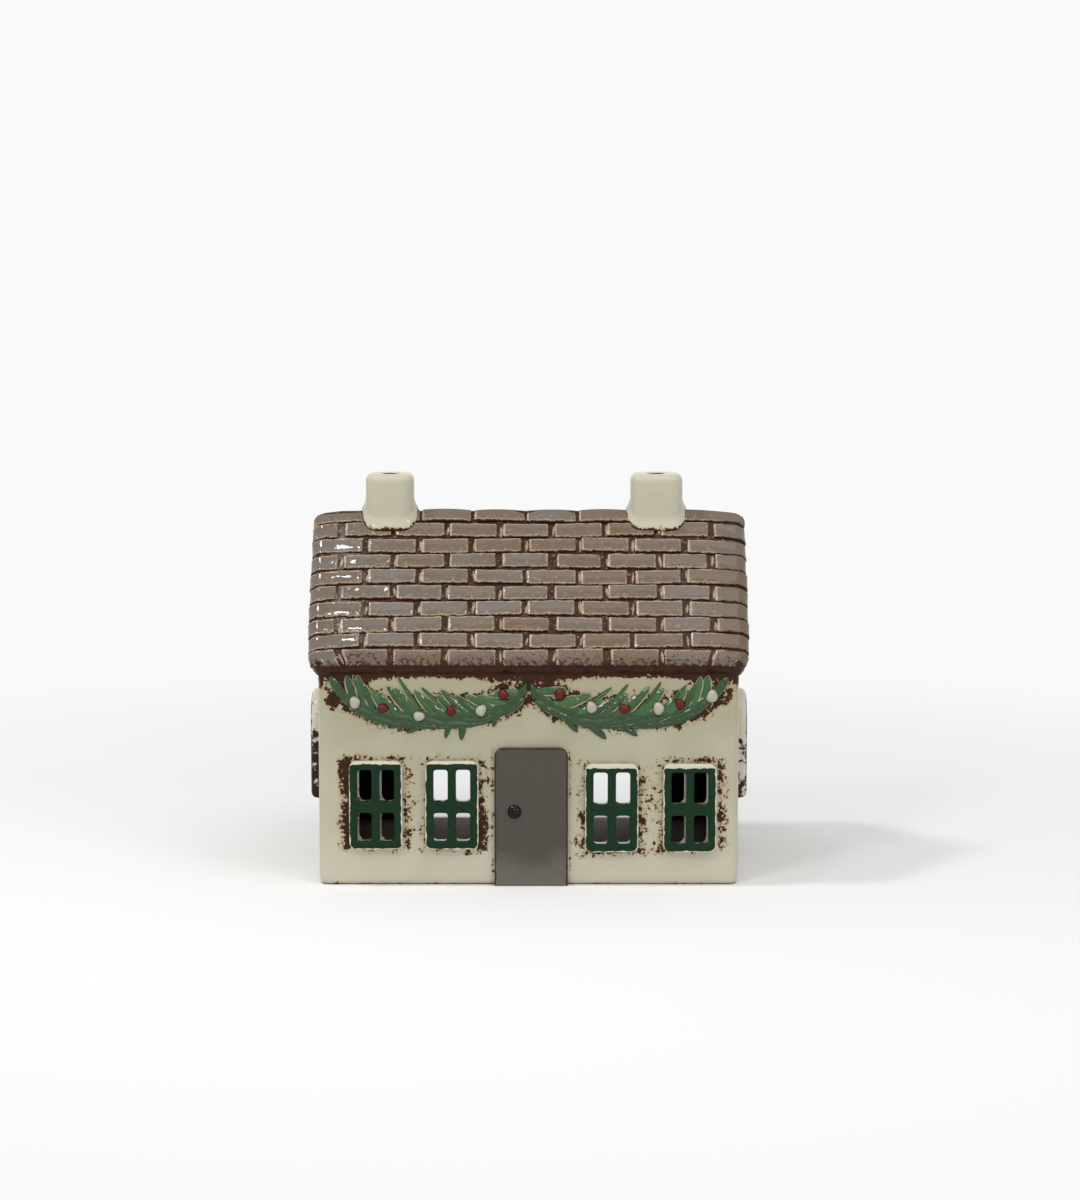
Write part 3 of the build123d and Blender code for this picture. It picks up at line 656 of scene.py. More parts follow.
def candle_wax():
    """Poured paraffin: waxy white with a soft glow just under the surface and a faintly clouded top."""
    material, tree, surface, spot = new_material(
        "poured_paraffin", IOR=1.44, Roughness=0.42, Subsurface_Weight=0.25, Subsurface_Scale=2 * MM)
    cloud = put(tree, "ShaderNodeTexNoise", {"Vector": spot, "Scale": 1 / 5, "Detail": 3}).outputs["Fac"]
    colour = put(tree, "ShaderNodeMix", {
        0: cloud, 6: linear("#ebe7dc"), 7: linear("#dcd7c8")}, data_type="RGBA").outputs[2]
    bump = put(tree, "ShaderNodeBump", {"Height": cloud, "Strength": 0.2, "Distance": 0.4 * MM}).outputs[0]
    put_links(tree, surface, {"Base Color": colour, "Normal": bump})
    return material


def braided_cotton():
    """Waxed cotton wick: pale with a slanting braid, drawn coarser than real, to show."""
    material, tree, surface, spot = new_material("braided_cotton_wick", Roughness=0.8)
    turned = put(tree, "ShaderNodeMapping", {
        "Vector": spot, "Rotation": (0, math.radians(35), 0)}).outputs[0]
    strands = put(tree, "ShaderNodeTexWave", {
        "Vector": turned, "Scale": 0.6, "Distortion": 1.5}).outputs["Fac"]
    colour = put(tree, "ShaderNodeMix", {
        0: strands, 6: linear("#b9b2a2"), 7: linear("#e4dfd2")}, data_type="RGBA").outputs[2]
    bump = put(tree, "ShaderNodeBump", {"Height": strands, "Strength": 0.5, "Distance": 0.2 * MM}).outputs[0]
    put_links(tree, surface, {"Base Color": colour, "Normal": bump})
    return material


# Pale cream low on the walls, and the deeper cream higher up as painted shade
cream = tin_glaze("cream_tin_glaze", "#c6c2ae", "#aea990")
taupe = roof_glaze()
iron_joints = joint_wash()
green_frame = frame_glaze()
grey_door = door_glaze()
leaf_green = leaf_glaze()
berry_red = dab_glaze("red_berry_glaze", "#620c05", "#300503", 0.1, 0.28)
berry_white = dab_glaze("white_berry_glaze", "#b2b09d", "#827c68", 0.15, 0.3)
knob_black = dab_glaze("black_knob_glaze", "#0d0a09", "#050403", 0.06, 0.22)
clay = bare_stoneware()
foil = pressed_metal("pressed_aluminium_foil", "#bfc1c3", 0.3, 1.5)
tin = pressed_metal("pressed_tin", "#9b9c9d", 0.35, 1.0)
paraffin = candle_wax()
cotton = braided_cotton()


# ---------------------------------------------------------------- openings shared by walls and windows

def pane_blocks(width, height, depth, lower_share, arched, ease):
    """Four blocks for the panes of a window that stands on the origin and faces -Y, each larger by ease."""
    half = width / 2 - WINDOW_STILE + ease
    sill = WINDOW_STILE - ease
    top = height - WINDOW_STILE + ease
    glass = height - 2 * WINDOW_STILE - CROSSBAR
    bar_low = WINDOW_STILE + glass * lower_share + ease
    if arched:
        bar_low = WINDOW_STILE + lower_share * (height - 2 * WINDOW_STILE) - CROSSBAR / 2 + ease
    bar_high = bar_low + CROSSBAR - 2 * ease
    whole = block("panes", (-half, -depth, sill), (half, depth, top))
    if arched:
        bevel(whole, lambda p, d: abs(d.y) > 0.9 and p.z > height / 2, 0.995 * half, 10)
    panes = []
    for side in (-1, 1):
        for low, high in ((sill, bar_low), (bar_high, top)):
            pane = copy_of(whole, "pane")
            slice_off(pane, (side * (MULLION / 2 - ease), 0, 0), (-side, 0, 0))
            if high < top:
                slice_off(pane, (0, 0, high), (0, 0, 1))
            if low > sill:
                slice_off(pane, (0, 0, low), (0, 0, -1))
            corner = PANE_CORNER if not arched else 0.8 * PANE_CORNER
            bevel(pane, through_corner(pane), corner, 3)
            panes.append(pane)
    bpy.data.objects.remove(whole)
    return join(panes, "panes")


def through_corner(pane):
    """Test for the corner edges of a pane that run through the wall."""
    mesh = pane.data
    corners = []
    for edge in mesh.edges:
        a, b = (mesh.vertices[i].co for i in edge.vertices)
        if abs((b - a).normalized().y) < 0.9:
            continue
        facing = [f.normal for f in mesh.polygons if edge.key in f.edge_keys]
        if len(facing) == 2 and facing[0].angle(facing[1]) > math.radians(40):
            corners.append((a + b) / 2)
    return lambda p, d: abs(d.y) > 0.9 and any((p - c).length < 0.01 * MM for c in corners)


def window_place(node):
    """Middle of a window's sill, its width, height and thickness, read from the frame."""
    low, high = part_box(node)
    size = high - low
    if node in GABLE_WINDOWS:
        return Vector((0, (low.y + high.y) / 2, low.z)), size.y, size.z, size.x
    return Vector(((low.x + high.x) / 2, 0, low.z)), size.x, size.z, size.y


def shift(piece, x, y, z):
    """Slides a piece and puts its place back in its mesh."""
    piece.data.transform(Matrix.Translation((x, y, z)))


# ---------------------------------------------------------------- walls

def swag_point(side, t):
    """Place of a swag's stem on the front wall, and its heading; t runs from the middle to the corner."""
    span = side * (HALF_WALL - GARLAND_END_INSET)
    x = span * t
    aside = abs(2 * t - 1)
    z = EAVE_TOP_Z - GARLAND_DROP - GARLAND_SAG * (1 - aside ** GARLAND_FULLNESS)
    fall = 2 * GARLAND_FULLNESS * GARLAND_SAG * aside ** (GARLAND_FULLNESS - 1)
    heading = math.atan2(math.copysign(fall, 2 * t - 1), span)
    return x, z, heading


def fringe(rows, across, low, high, strengths):
    """Stain round a relief on a wall: each side with its own strength, fading over a few millimetres."""
    left = low[0] - rows[:, across]
    right = rows[:, across] - high[0]
    below = low[1] - rows[:, 2]
    above = rows[:, 2] - high[1]
    beside = np.maximum(np.maximum(left, right), 0)
    over = np.maximum(np.maximum(below, above), 0)
    fade = np.clip(1 - np.hypot(beside / STAIN_BESIDE, over / STAIN_OVER), 0, 1)
    upper = smooth_step(0.35, 0.65, (rows[:, 2] - low[1]) / (high[1] - low[1]))
    left_high, right_high, left_low, right_low, over_top, under_sill = strengths
    shares = np.maximum(np.stack([left, right, above, below]), 0)
    sides = np.stack([
        left_low + (left_high - left_low) * upper, right_low + (right_high - right_low) * upper,
        np.full(len(rows), over_top), np.full(len(rows), under_sill)])
    total = shares.sum(axis=0)
    strength = np.where(total > 0, (shares * sides).sum(axis=0) / np.maximum(total, 1e-9), 0.3)
    return strength * fade ** 0.6


def darken(stain, where, amount):
    """Raises the stain to the amount where it applies."""
    return np.maximum(stain, np.where(where, amount, 0))


def wall_stain(rows):
    """How strongly iron breaks through the wall glaze: beside windows, door and garland, under the roof."""
    stain = np.zeros(len(rows))
    # Windows, a thin line round the door, the garland's bare ends, and its length
    front = rows[:, 1] < FRONT_Y + OUTER_SKIN
    for node in FRONT_WINDOWS:
        low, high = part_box(node)
        near = fringe(rows, 0, (low.x, low.z), (high.x, high.z), WINDOW_STAINS[node])
        stain = darken(stain, front, near)
    low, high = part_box("front_door")
    near = fringe(rows, 0, (low.x, low.z), (high.x, high.z), (1, 1, 1, 1, 1, 1))
    stain = darken(stain, front, 0.7 * smooth_step(0.82, 1.0, near))
    for x, z, reach, strength in BARE_PATCHES:
        away = np.hypot(rows[:, 0] - x, rows[:, 2] - z)
        stain = darken(stain, front, strength * np.clip(1.6 - 1.6 * away / reach, 0, 1))
    for side in (-1, 1):
        for t in np.linspace(0, 1, 50):
            x, z, _ = swag_point(side, t)
            away = np.hypot(rows[:, 0] - x, (rows[:, 2] - z) * np.where(rows[:, 2] > z, 0.75, 1.0))
            near = 0.66 * np.clip(1 - (away - 4.6 * MM) / (2.8 * MM), 0, 1)
            stain = darken(stain, front, near)
    # Gable windows and the line under the verges
    for node in GABLE_WINDOWS:
        low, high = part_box(node)
        outer = np.sign(low.x) * rows[:, 0] > HALF_WALL - OUTER_SKIN
        near = fringe(rows, 1, (low.y, low.z), (high.y, high.z - 6 * MM), WINDOW_STAINS[node])
        stain = darken(stain, outer, near)
    under_roof = UNDERSIDE_APEX_Z - np.abs(rows[:, 1]) * math.tan(PITCH) - rows[:, 2]
    outside = np.abs(rows[:, 0]) > HALF_WALL - OUTER_SKIN
    stain = darken(stain, outside, np.clip(0.95 - under_roof / (5 * MM), 0, 1))
    # Drips under the eave, longer at the middle and the ends, the foot, and the inside, which is all the
    # darkest brown: bare iron, and painted shade deep in the house
    under_eave = EAVE_TOP_Z - rows[:, 2]
    long_side = np.abs(rows[:, 1]) > HALF_DEPTH - OUTER_SKIN
    aside = np.abs(rows[:, 0])
    far_out = smooth_step(50 * MM, 62 * MM, aside)
    drips = 2.0 * MM + 3.0 * MM * (far_out + 1 - smooth_step(8 * MM, 20 * MM, aside))
    stain = darken(stain, long_side, np.clip(1.15 - under_eave / drips, 0, 1.15))
    stain = np.maximum(stain, 0.5 * np.clip(1 - rows[:, 2] / (1.5 * MM), 0, 1))
    inside = aside < HALF_INNER_LENGTH + WALL_OVERLAP
    inside &= np.abs(rows[:, 1]) < HALF_INNER_DEPTH + WALL_OVERLAP
    return np.where(inside, 1.3, stain)


def gable_block(side):
    """Gable wall: a block whose top face is drawn up to a ridge."""
    inner = side * HALF_INNER_LENGTH
    outer = side * HALF_WALL
    half = HALF_INNER_DEPTH + WALL_OVERLAP
    shoulder = UNDERSIDE_APEX_Z - half * math.tan(PITCH) + GABLE_BITE
    wall = block("gable", (min(inner, outer), -half, 0), (max(inner, outer), half, shoulder))
    pick(wall, "FACE", lambda middle, facing: facing.z > 0.9)
    rise = UNDERSIDE_APEX_Z + GABLE_BITE - shoulder
    bpy.ops.mesh.extrude_region_move(TRANSFORM_OT_translate={"value": (0, 0, rise)})
    bpy.ops.transform.resize(value=(1, 0.001, 1))
    close_edit()
    return wall


def walls():
    """Four walls as one shell: pierced blocks joined and softened, then parted at the inner corners."""
    head = EAVE_TOP_Z + WALL_BITE
    front = block("front", (-HALF_WALL, -HALF_DEPTH, 0), (HALF_WALL, -HALF_INNER_DEPTH, head))
    back = block("back", (-HALF_WALL, HALF_INNER_DEPTH, 0), (HALF_WALL, HALF_DEPTH, head))
    for wall in (front, back):
        bevel(wall, lambda p, d: abs(d.z) > 0.9 and abs(p.y) > HALF_DEPTH - 1 * MM, WALL_CORNER, 5)
        bevel(wall, lambda p, d: p.z < 0.1 * MM and max(
            abs(p.x) - HALF_WALL, abs(p.y) - HALF_DEPTH) > -OUTER_SKIN, WALL_FOOT, 4)
    for node in FRONT_WINDOWS:
        sill, width, height, _ = window_place(node)
        panes = pane_blocks(width, height, PANE_CUT_REACH, 1 - UPPER_PANE_SHARE, False, REVEAL_EASE)
        aside = -math.copysign(OUTER_PANE_SHIFT, sill.x) if "outer" in node else 0
        shift(panes, sill.x + aside, FRONT_Y, sill.z)
        cut(front, panes)
    half_arch = BACK_ARCH_WIDTH / 2
    spring = FLOOR_TOP + BACK_ARCH_JAMB
    arch = block("arch", (-half_arch, HALF_INNER_DEPTH - 10 * MM, FLOOR_TOP),
                 (half_arch, HALF_DEPTH + 10 * MM, spring + half_arch))
    bevel(arch, lambda p, d: abs(d.y) > 0.9 and p.z > spring, 0.995 * half_arch, 24)
    cut(back, arch)
    gables = []
    for node, side in zip(GABLE_WINDOWS, (-1, 1)):
        wall = gable_block(side)
        sill, width, height, _ = window_place(node)
        panes = pane_blocks(width, height, PANE_CUT_REACH, SIDE_LOWER_SHARE, True, REVEAL_EASE)
        shift(panes, 0, 0, sill.z)
        turn_about_z(panes, side * math.pi / 2, side * HALF_WALL)
        cut(wall, panes)
        gables.append(wall)
    shell = join([front, back] + gables, "shell")
    relax(shell, WALL_VOXEL, 5)
    rows = places(shell)
    rows[:, 2] = np.maximum(rows[:, 2], 0)
    move_to(shell, rows)
    paint(shell, "stain", wall_stain(rows))
    inner = HALF_INNER_DEPTH - WALL_OVERLAP
    parts = {
        "front_wall": [((0, -inner, 0), (0, 1, 0))],
        "back_wall": [((0, inner, 0), (0, -1, 0))],
        "left_gable": [((0, -inner, 0), (0, -1, 0)), ((0, inner, 0), (0, 1, 0)), ((0, 0, 0), (1, 0, 0))],
        "right_gable": [((0, -inner, 0), (0, -1, 0)), ((0, inner, 0), (0, 1, 0)), ((0, 0, 0), (-1, 0, 0))],
    }
    for node, planes in parts.items():
        part = copy_of(shell, "glazed_" + node)
        for point, normal in planes:
            slice_off(part, point, normal)
        done(part, cream, "cream_glaze", node)
    bpy.data.objects.remove(shell)


# ---------------------------------------------------------------- windows, door and knob

def window(node):
    """Raised window frame with four open panes, its edges rounded under the glaze."""
    sill, width, height, thickness = window_place(node)
    gable = node in GABLE_WINDOWS
    casing = block("casing", (-width / 2, -thickness, 0), (width / 2, RELIEF_BED, height))
    if gable:
        bevel(casing, lambda p, d: abs(d.y) > 0.9 and p.z > height / 2, 0.995 * width / 2, 16)
        bevel(casing, lambda p, d: p.y < 0.1 * MM - thickness, 2.2 * MM, 4)
    else:
        bevel(casing, lambda p, d: abs(d.y) > 0.9, FRAME_CORNER, 5)
    share = SIDE_LOWER_SHARE if gable else 1 - UPPER_PANE_SHARE
    cut(casing, pane_blocks(width, height, PANE_CUT_REACH, share, gable, 0))
    relax(casing, FRAME_VOXEL, 5)
    rows = places(casing)
    proud = -rows[:, 1] / thickness
    # How far a point of the face lies inside the cream lip that the green leaves bare round the frame
    top_lip = 1.4 * MM if node.startswith("right") else 0.9 * MM
    inset = np.minimum.reduce([
        rows[:, 0] + width / 2 - 0.1 * MM, width / 2 - rows[:, 0] - 0.4 * MM,
        rows[:, 2] - 0.3 * MM, height - rows[:, 2] - top_lip])
    if gable:
        spring = height - width / 2
        arc = width / 2 - np.hypot(rows[:, 0], np.maximum(rows[:, 2] - spring, 0)) - 1.0 * MM
        inset = np.minimum(inset, arc)
    else:
        corner = 2.3 * MM
        from_corner = np.hypot(np.maximum(np.abs(rows[:, 0]) - width / 2 + corner, 0),
                               np.maximum(np.abs(rows[:, 2] - height / 2) - height / 2 + corner, 0))
        inset = np.minimum(inset, corner - from_corner - 0.3 * MM)
    reveal = (inset > 1.2 * MM) & (proud < 0.75)
    worn = 0.7 * (1 - smooth_step(0.0, 0.4, proud))
    if gable:
        foot = 0.78 if node.startswith("left") else 0.55
        worn = np.maximum(worn, foot - 0.55 * smooth_step(0.5, 0.75, rows[:, 2] / height))
    paint(casing, "face", np.clip(0.5 + inset / (0.9 * MM), 0, 1.2) * smooth_step(0.5, 0.75, proud))
    paint(casing, "stain", np.where(reveal, 0.55, worn))
    if gable:
        side = -1 if node.startswith("left") else 1
        shift(casing, 0, 0, sill.z)
        turn_about_z(casing, side * math.pi / 2, side * HALF_WALL)
    else:
        shift(casing, sill.x, FRONT_Y, sill.z)
    casing.name = "glazed_" + node
    done(casing, green_frame, "green_glaze", node)


def door():
    """Door panel with round upper corners, its edge rolled over."""
    low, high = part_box("front_door")
    panel = block("glazed_front_door", low, (high.x, high.y + RELIEF_BED, high.z))
    bevel(panel, lambda p, d: abs(d.y) > 0.9 and p.z > high.z / 2, DOOR_CORNER, 5)
    relax(panel, DOOR_VOXEL, 8)
    rows = places(panel)
    rows[:, 2] = np.maximum(rows[:, 2], 0)
    move_to(panel, rows)
    inward = np.minimum(np.minimum(rows[:, 0] - low.x, high.x - rows[:, 0]), high.z - rows[:, 2])
    paint(panel, "rim", 1 - smooth_step(0, 1.5 * MM, inward))
    done(panel, grey_door, "door_glaze", "front_door")


def dome_on_front(name, middle_x, middle_z, radius, height, back_y):
    """Round glazed button standing on the front: a ball pressed flat and sunk into what carries it."""
    bpy.ops.object.select_all(action="DESELECT")
    bpy.ops.mesh.primitive_uv_sphere_add(
        segments=24, ring_count=14, radius=1, location=(middle_x, back_y, middle_z),
        rotation=(math.pi / 2, 0, 0), scale=(radius, radius, height))
    bead = bpy.context.object
    bead.name = name
    settle()
    slice_off(bead, (0, back_y + 0.3 * height, 0), (0, 1, 0))
    rows = places(bead)
    paint(bead, "stain", 1 - smooth_step(0.0, 0.7, (back_y - rows[:, 1]) / height))
    return bead


def knob():
    """Domed black door knob with one small flat that catches the light."""
    low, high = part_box("door_knob")
    middle = (low + high) / 2
    radius = (high.x - low.x) / 2
    bead = dome_on_front("glazed_door_knob", middle.x, middle.z, radius, high.y - low.y, high.y)
    x, y, z = KNOB_FLAT_AT
    slice_off(bead, (middle.x + x, high.y + y, middle.z + z), KNOB_FLAT_FACING)
    pick(bead, "FACE", lambda spot, facing: facing.dot(KNOB_FLAT_FACING) > 0.999)
    bpy.ops.mesh.inset(thickness=KNOB_FLAT_EDGE)
    close_edit()
    done(bead, knob_black, "knob_glaze", "door_knob")


# ---------------------------------------------------------------- roof

def blank_grid(columns, rows):
    """Blank for tiles and leaves: a unit grid with a skirt and a closed bottom, shaped later in place."""
    bpy.ops.object.select_all(action="DESELECT")
    bpy.ops.mesh.primitive_grid_add(x_subdivisions=columns, y_subdivisions=rows, size=2)
    blank = bpy.context.object
    pick(blank, "EDGE", lambda p, d: max(abs(p.x), abs(p.y)) > 0.999)
    bpy.ops.mesh.extrude_edges_move(TRANSFORM_OT_translate={"value": (0, 0, -1)})
    bpy.ops.mesh.edge_face_add()
    close_edit()
    faces_outward(blank)
    return blank


def lip_model():
    """Blank lip of glaze: a low ball, shaped later to each joint."""
    bpy.ops.object.select_all(action="DESELECT")
    bpy.ops.mesh.primitive_uv_sphere_add(segments=12, ring_count=8, radius=1)
    return bpy.context.object


def grid_lines(unit, size):
    """Turns unit grid places into places along a tile, its lines drawn close together at both edges."""
    cells = len(np.unique(np.round(unit, 4))) - 1
    close = np.array(TILE_EDGE_LINES)
    lines = np.concatenate([close, np.linspace(close[-1], size - close[-1], cells - 2 * len(close) + 3)[1:-1],
                            size - close[::-1]])
    return lines[np.round((unit + 1) / 2 * cells).astype(int)] - size / 2


def shape_tile(blank, start, end, top, bottom, dice, crown, last):
    """Copies the blank to a tile from start to end along the course and top to bottom down the slope."""
    tile = copy_of(blank, "tile")
    unit = places(tile)
    skirt = unit[:, 2] < -0.5
    half_long = (end - start) / 2
    half_wide = (bottom - top) / 2
    s = grid_lines(unit[:, 0], end - start)
    u = grid_lines(unit[:, 1], bottom - top)
    # Corners rounded and edges rolled over
    over_s = np.maximum(np.abs(s) - (half_long - TILE_EDGE_RADIUS), 0) / TILE_EDGE_RADIUS
    over_u = np.maximum(np.abs(u) - (half_wide - TILE_EDGE_RADIUS), 0) / TILE_EDGE_RADIUS
    far = np.hypot(over_s, over_u)
    pull = TILE_EDGE_RADIUS * np.where(far > 1, 1 / np.maximum(far, 1e-9), 1)
    s = np.where(over_s > 0, np.sign(s) * (half_long - TILE_EDGE_RADIUS + over_s * pull), s)
    u = np.where(over_u > 0, np.sign(u) * (half_wide - TILE_EDGE_RADIUS + over_u * pull), u)
    edge = np.minimum(far, 1)
    drop = 0.75 * TILE_RELIEF * (1 - np.sqrt(np.maximum(1 - edge ** 2, 0)))
    inward = np.minimum(half_long - np.abs(s), half_wide - np.abs(u))
    # Ragged outline, a lip of glaze just inside it, and a tile that lies a little askew
    waver = [dice.uniform(0, 6.28) for _ in range(4)]
    bow = np.sin(s / (1.3 * MM) + waver[0]) + 0.7 * np.sin(s / (0.7 * MM) + waver[1])
    lean = np.sin(u / (0.9 * MM) + waver[2]) + 0.5 * np.sin(u / (0.5 * MM) + waver[3])
    u = u + 0.11 * MM * bow * np.sign(u) * smooth_step(half_wide - 1.3 * MM, half_wide, np.abs(u))
    s = s + 0.16 * MM * lean * np.sign(s) * smooth_step(half_long - 1.3 * MM, half_long, np.abs(s))
    lip = 0.12 * MM * np.exp(-((inward - 0.5 * MM) / (0.3 * MM)) ** 2)
    tilt = dice.uniform(-0.014, 0.014) * s + dice.uniform(-0.05, 0.05) * u
    tilt += crown * (1 - (s / half_long) ** 2)
    n = np.where(skirt, -TILE_SKIRT, lip - drop + tilt + dice.uniform(-0.2, 0.05) * MM)
    # Pale rim at the left end, upper edge, lower edge and right end, weaker by the right verge; the left end's
    # rim runs high enough to be painted as a highlight
    rim = np.maximum.reduce([
        1.4 - 1.4 * smooth_step(0.5 * MM, 1.3 * MM, s + half_long),
        1.05 - 1.05 * smooth_step(0.6 * MM, 1.3 * MM, u + half_wide),
        0.95 - 0.95 * smooth_step(0.7 * MM, 1.5 * MM, half_wide - u),
        0.7 - 0.7 * smooth_step(0.5 * MM, 1.1 * MM, half_long - s)])
    rim *= 1 - 0.6 * smooth_step(67 * MM, 73 * MM, s + (start + end) / 2)
    # Brown wear on the rolled edge, most at the lower one and all over the last course
    under = half_wide - u
    worn = 0.55 * smooth_step(0.7, 1.0, edge) + 0.58 * (1 - smooth_step(0.15 * MM, 1.2 * MM, under))
    if last:
        worn = np.maximum(worn, 0.3 + 0.5 * (1 - smooth_step(0.2 * MM, 1.8 * MM, under)))
        rim = np.maximum(rim, 0.45)
    paint(tile, "rim", rim)
    paint(tile, "joint", np.where(skirt, 1.0, worn))
    paint(tile, "tone", dice.uniform(0.05, 0.4) + 0.5 * (1 - smooth_step(0.5 * MM, 2.2 * MM, inward)))
    move_to(tile, np.stack([s + (start + end) / 2, u + (top + bottom) / 2, n], axis=1))
    return tile


def shape_lip(blank, middle, mid_slope, dice):
    """Copies the ball to one lip of glaze drawn up on the right of a joint."""
    lip = copy_of(blank, "lip")
    unit = places(lip)
    wide = dice.uniform(0.42, 0.72) * MM
    tall = dice.uniform(0.26, 0.42) * COURSE_PITCH
    slant = dice.uniform(-0.35, 0.35) * MM
    s = middle + dice.uniform(0.35, 0.75) * MM + unit[:, 0] * wide + slant * unit[:, 1]
    u = mid_slope + dice.uniform(-0.7, 0.7) * MM + unit[:, 1] * tall
    n = dice.uniform(-0.95, -0.65) * MM + unit[:, 2] * 0.8 * MM
    # Pale rim, strongest on the lip's right side, where it is painted as a highlight
    paint(lip, "rim", 0.7 + 0.9 * smooth_step(-0.1, 0.6, unit[:, 0]))
    paint(lip, "joint", 0.3 - 0.3 * smooth_step(-0.6, 0.2, unit[:, 0]))
    paint(lip, "tone", 0.8)
    move_to(lip, np.stack([s, u, n], axis=1))
    return lip


def droop(x):
    """How far the roof face sinks towards the verges."""
    return VERGE_DROOP * np.clip((np.abs(x) - DROOP_START) / (HALF_ROOF - DROOP_START), 0, 1) ** 2


def wrap_on_roof(rows, back):
    """Bends flat course coordinates (along, down the slope, off the face) over verge and ridge."""
    s, u, n = rows[:, 0], rows[:, 1], rows[:, 2]
    past = np.abs(s) - VERGE_START
    angle = np.clip(past / VERGE_RADIUS, 0, math.pi / 2)
    below = np.maximum(past - VERGE_ARC, 0)
    x = np.where(past > 0, VERGE_START + (VERGE_RADIUS + n) * np.sin(angle), np.abs(s)) * np.sign(s)
    h = np.where(past > 0, -VERGE_RADIUS + (VERGE_RADIUS + n) * np.cos(angle) - below, n)
    roll_start = SLOPE_LENGTH - EAVE_RADIUS
    roll = np.maximum(u - roll_start, 0) / EAVE_RADIUS
    round_in = np.maximum(EAVE_RADIUS + h, 0)
    u = np.where(roll > 0, roll_start + round_in * np.sin(roll), u)
    h = np.where((roll > 0) & (round_in > 0), -EAVE_RADIUS + round_in * np.cos(roll), h)
    tuck = np.clip((u - SLOPE_LENGTH + CORNER_RUN) / CORNER_RUN, 0, 1)
    near_verge = smooth_step(TUCK_FROM, TUCK_FULL, np.abs(x))
    x = x - np.sign(x) * CORNER_TUCK * (1 - np.sqrt(1 - tuck ** 2)) * near_verge
    h = h - droop(x) * np.clip(1 + h / ROOF_THICKNESS, 0, 1)
    tangent = RIDGE_RADIUS * math.tan(PITCH)
    y = -(u * math.cos(PITCH) + h * math.sin(PITCH))
    z = APEX_Z - u * math.sin(PITCH) + h * math.cos(PITCH)
    lean = PITCH * u / tangent
    on_ridge = u < tangent
    y = np.where(on_ridge, -(RIDGE_RADIUS + h) * np.sin(lean), y)
    z = np.where(on_ridge, RIDGE_Z - RIDGE_RADIUS + (RIDGE_RADIUS + h) * np.cos(lean), z)
    return np.stack([x, -y if back else y, z], axis=1)


def course_joints(row):
    """Places of the upright joints in a course, from one verge to the other."""
    first = ODD_COURSE_START if row % 2 == 0 else EVEN_COURSE_START
    reach = math.ceil(2 * HALF_ROOF / TILE_PITCH)
    spots = [first + k * TILE_PITCH for k in range(-reach, reach + 1)]
    return [x for x in spots if abs(x) < HALF_ROOF - VERGE_RADIUS - TILE_JOINT]


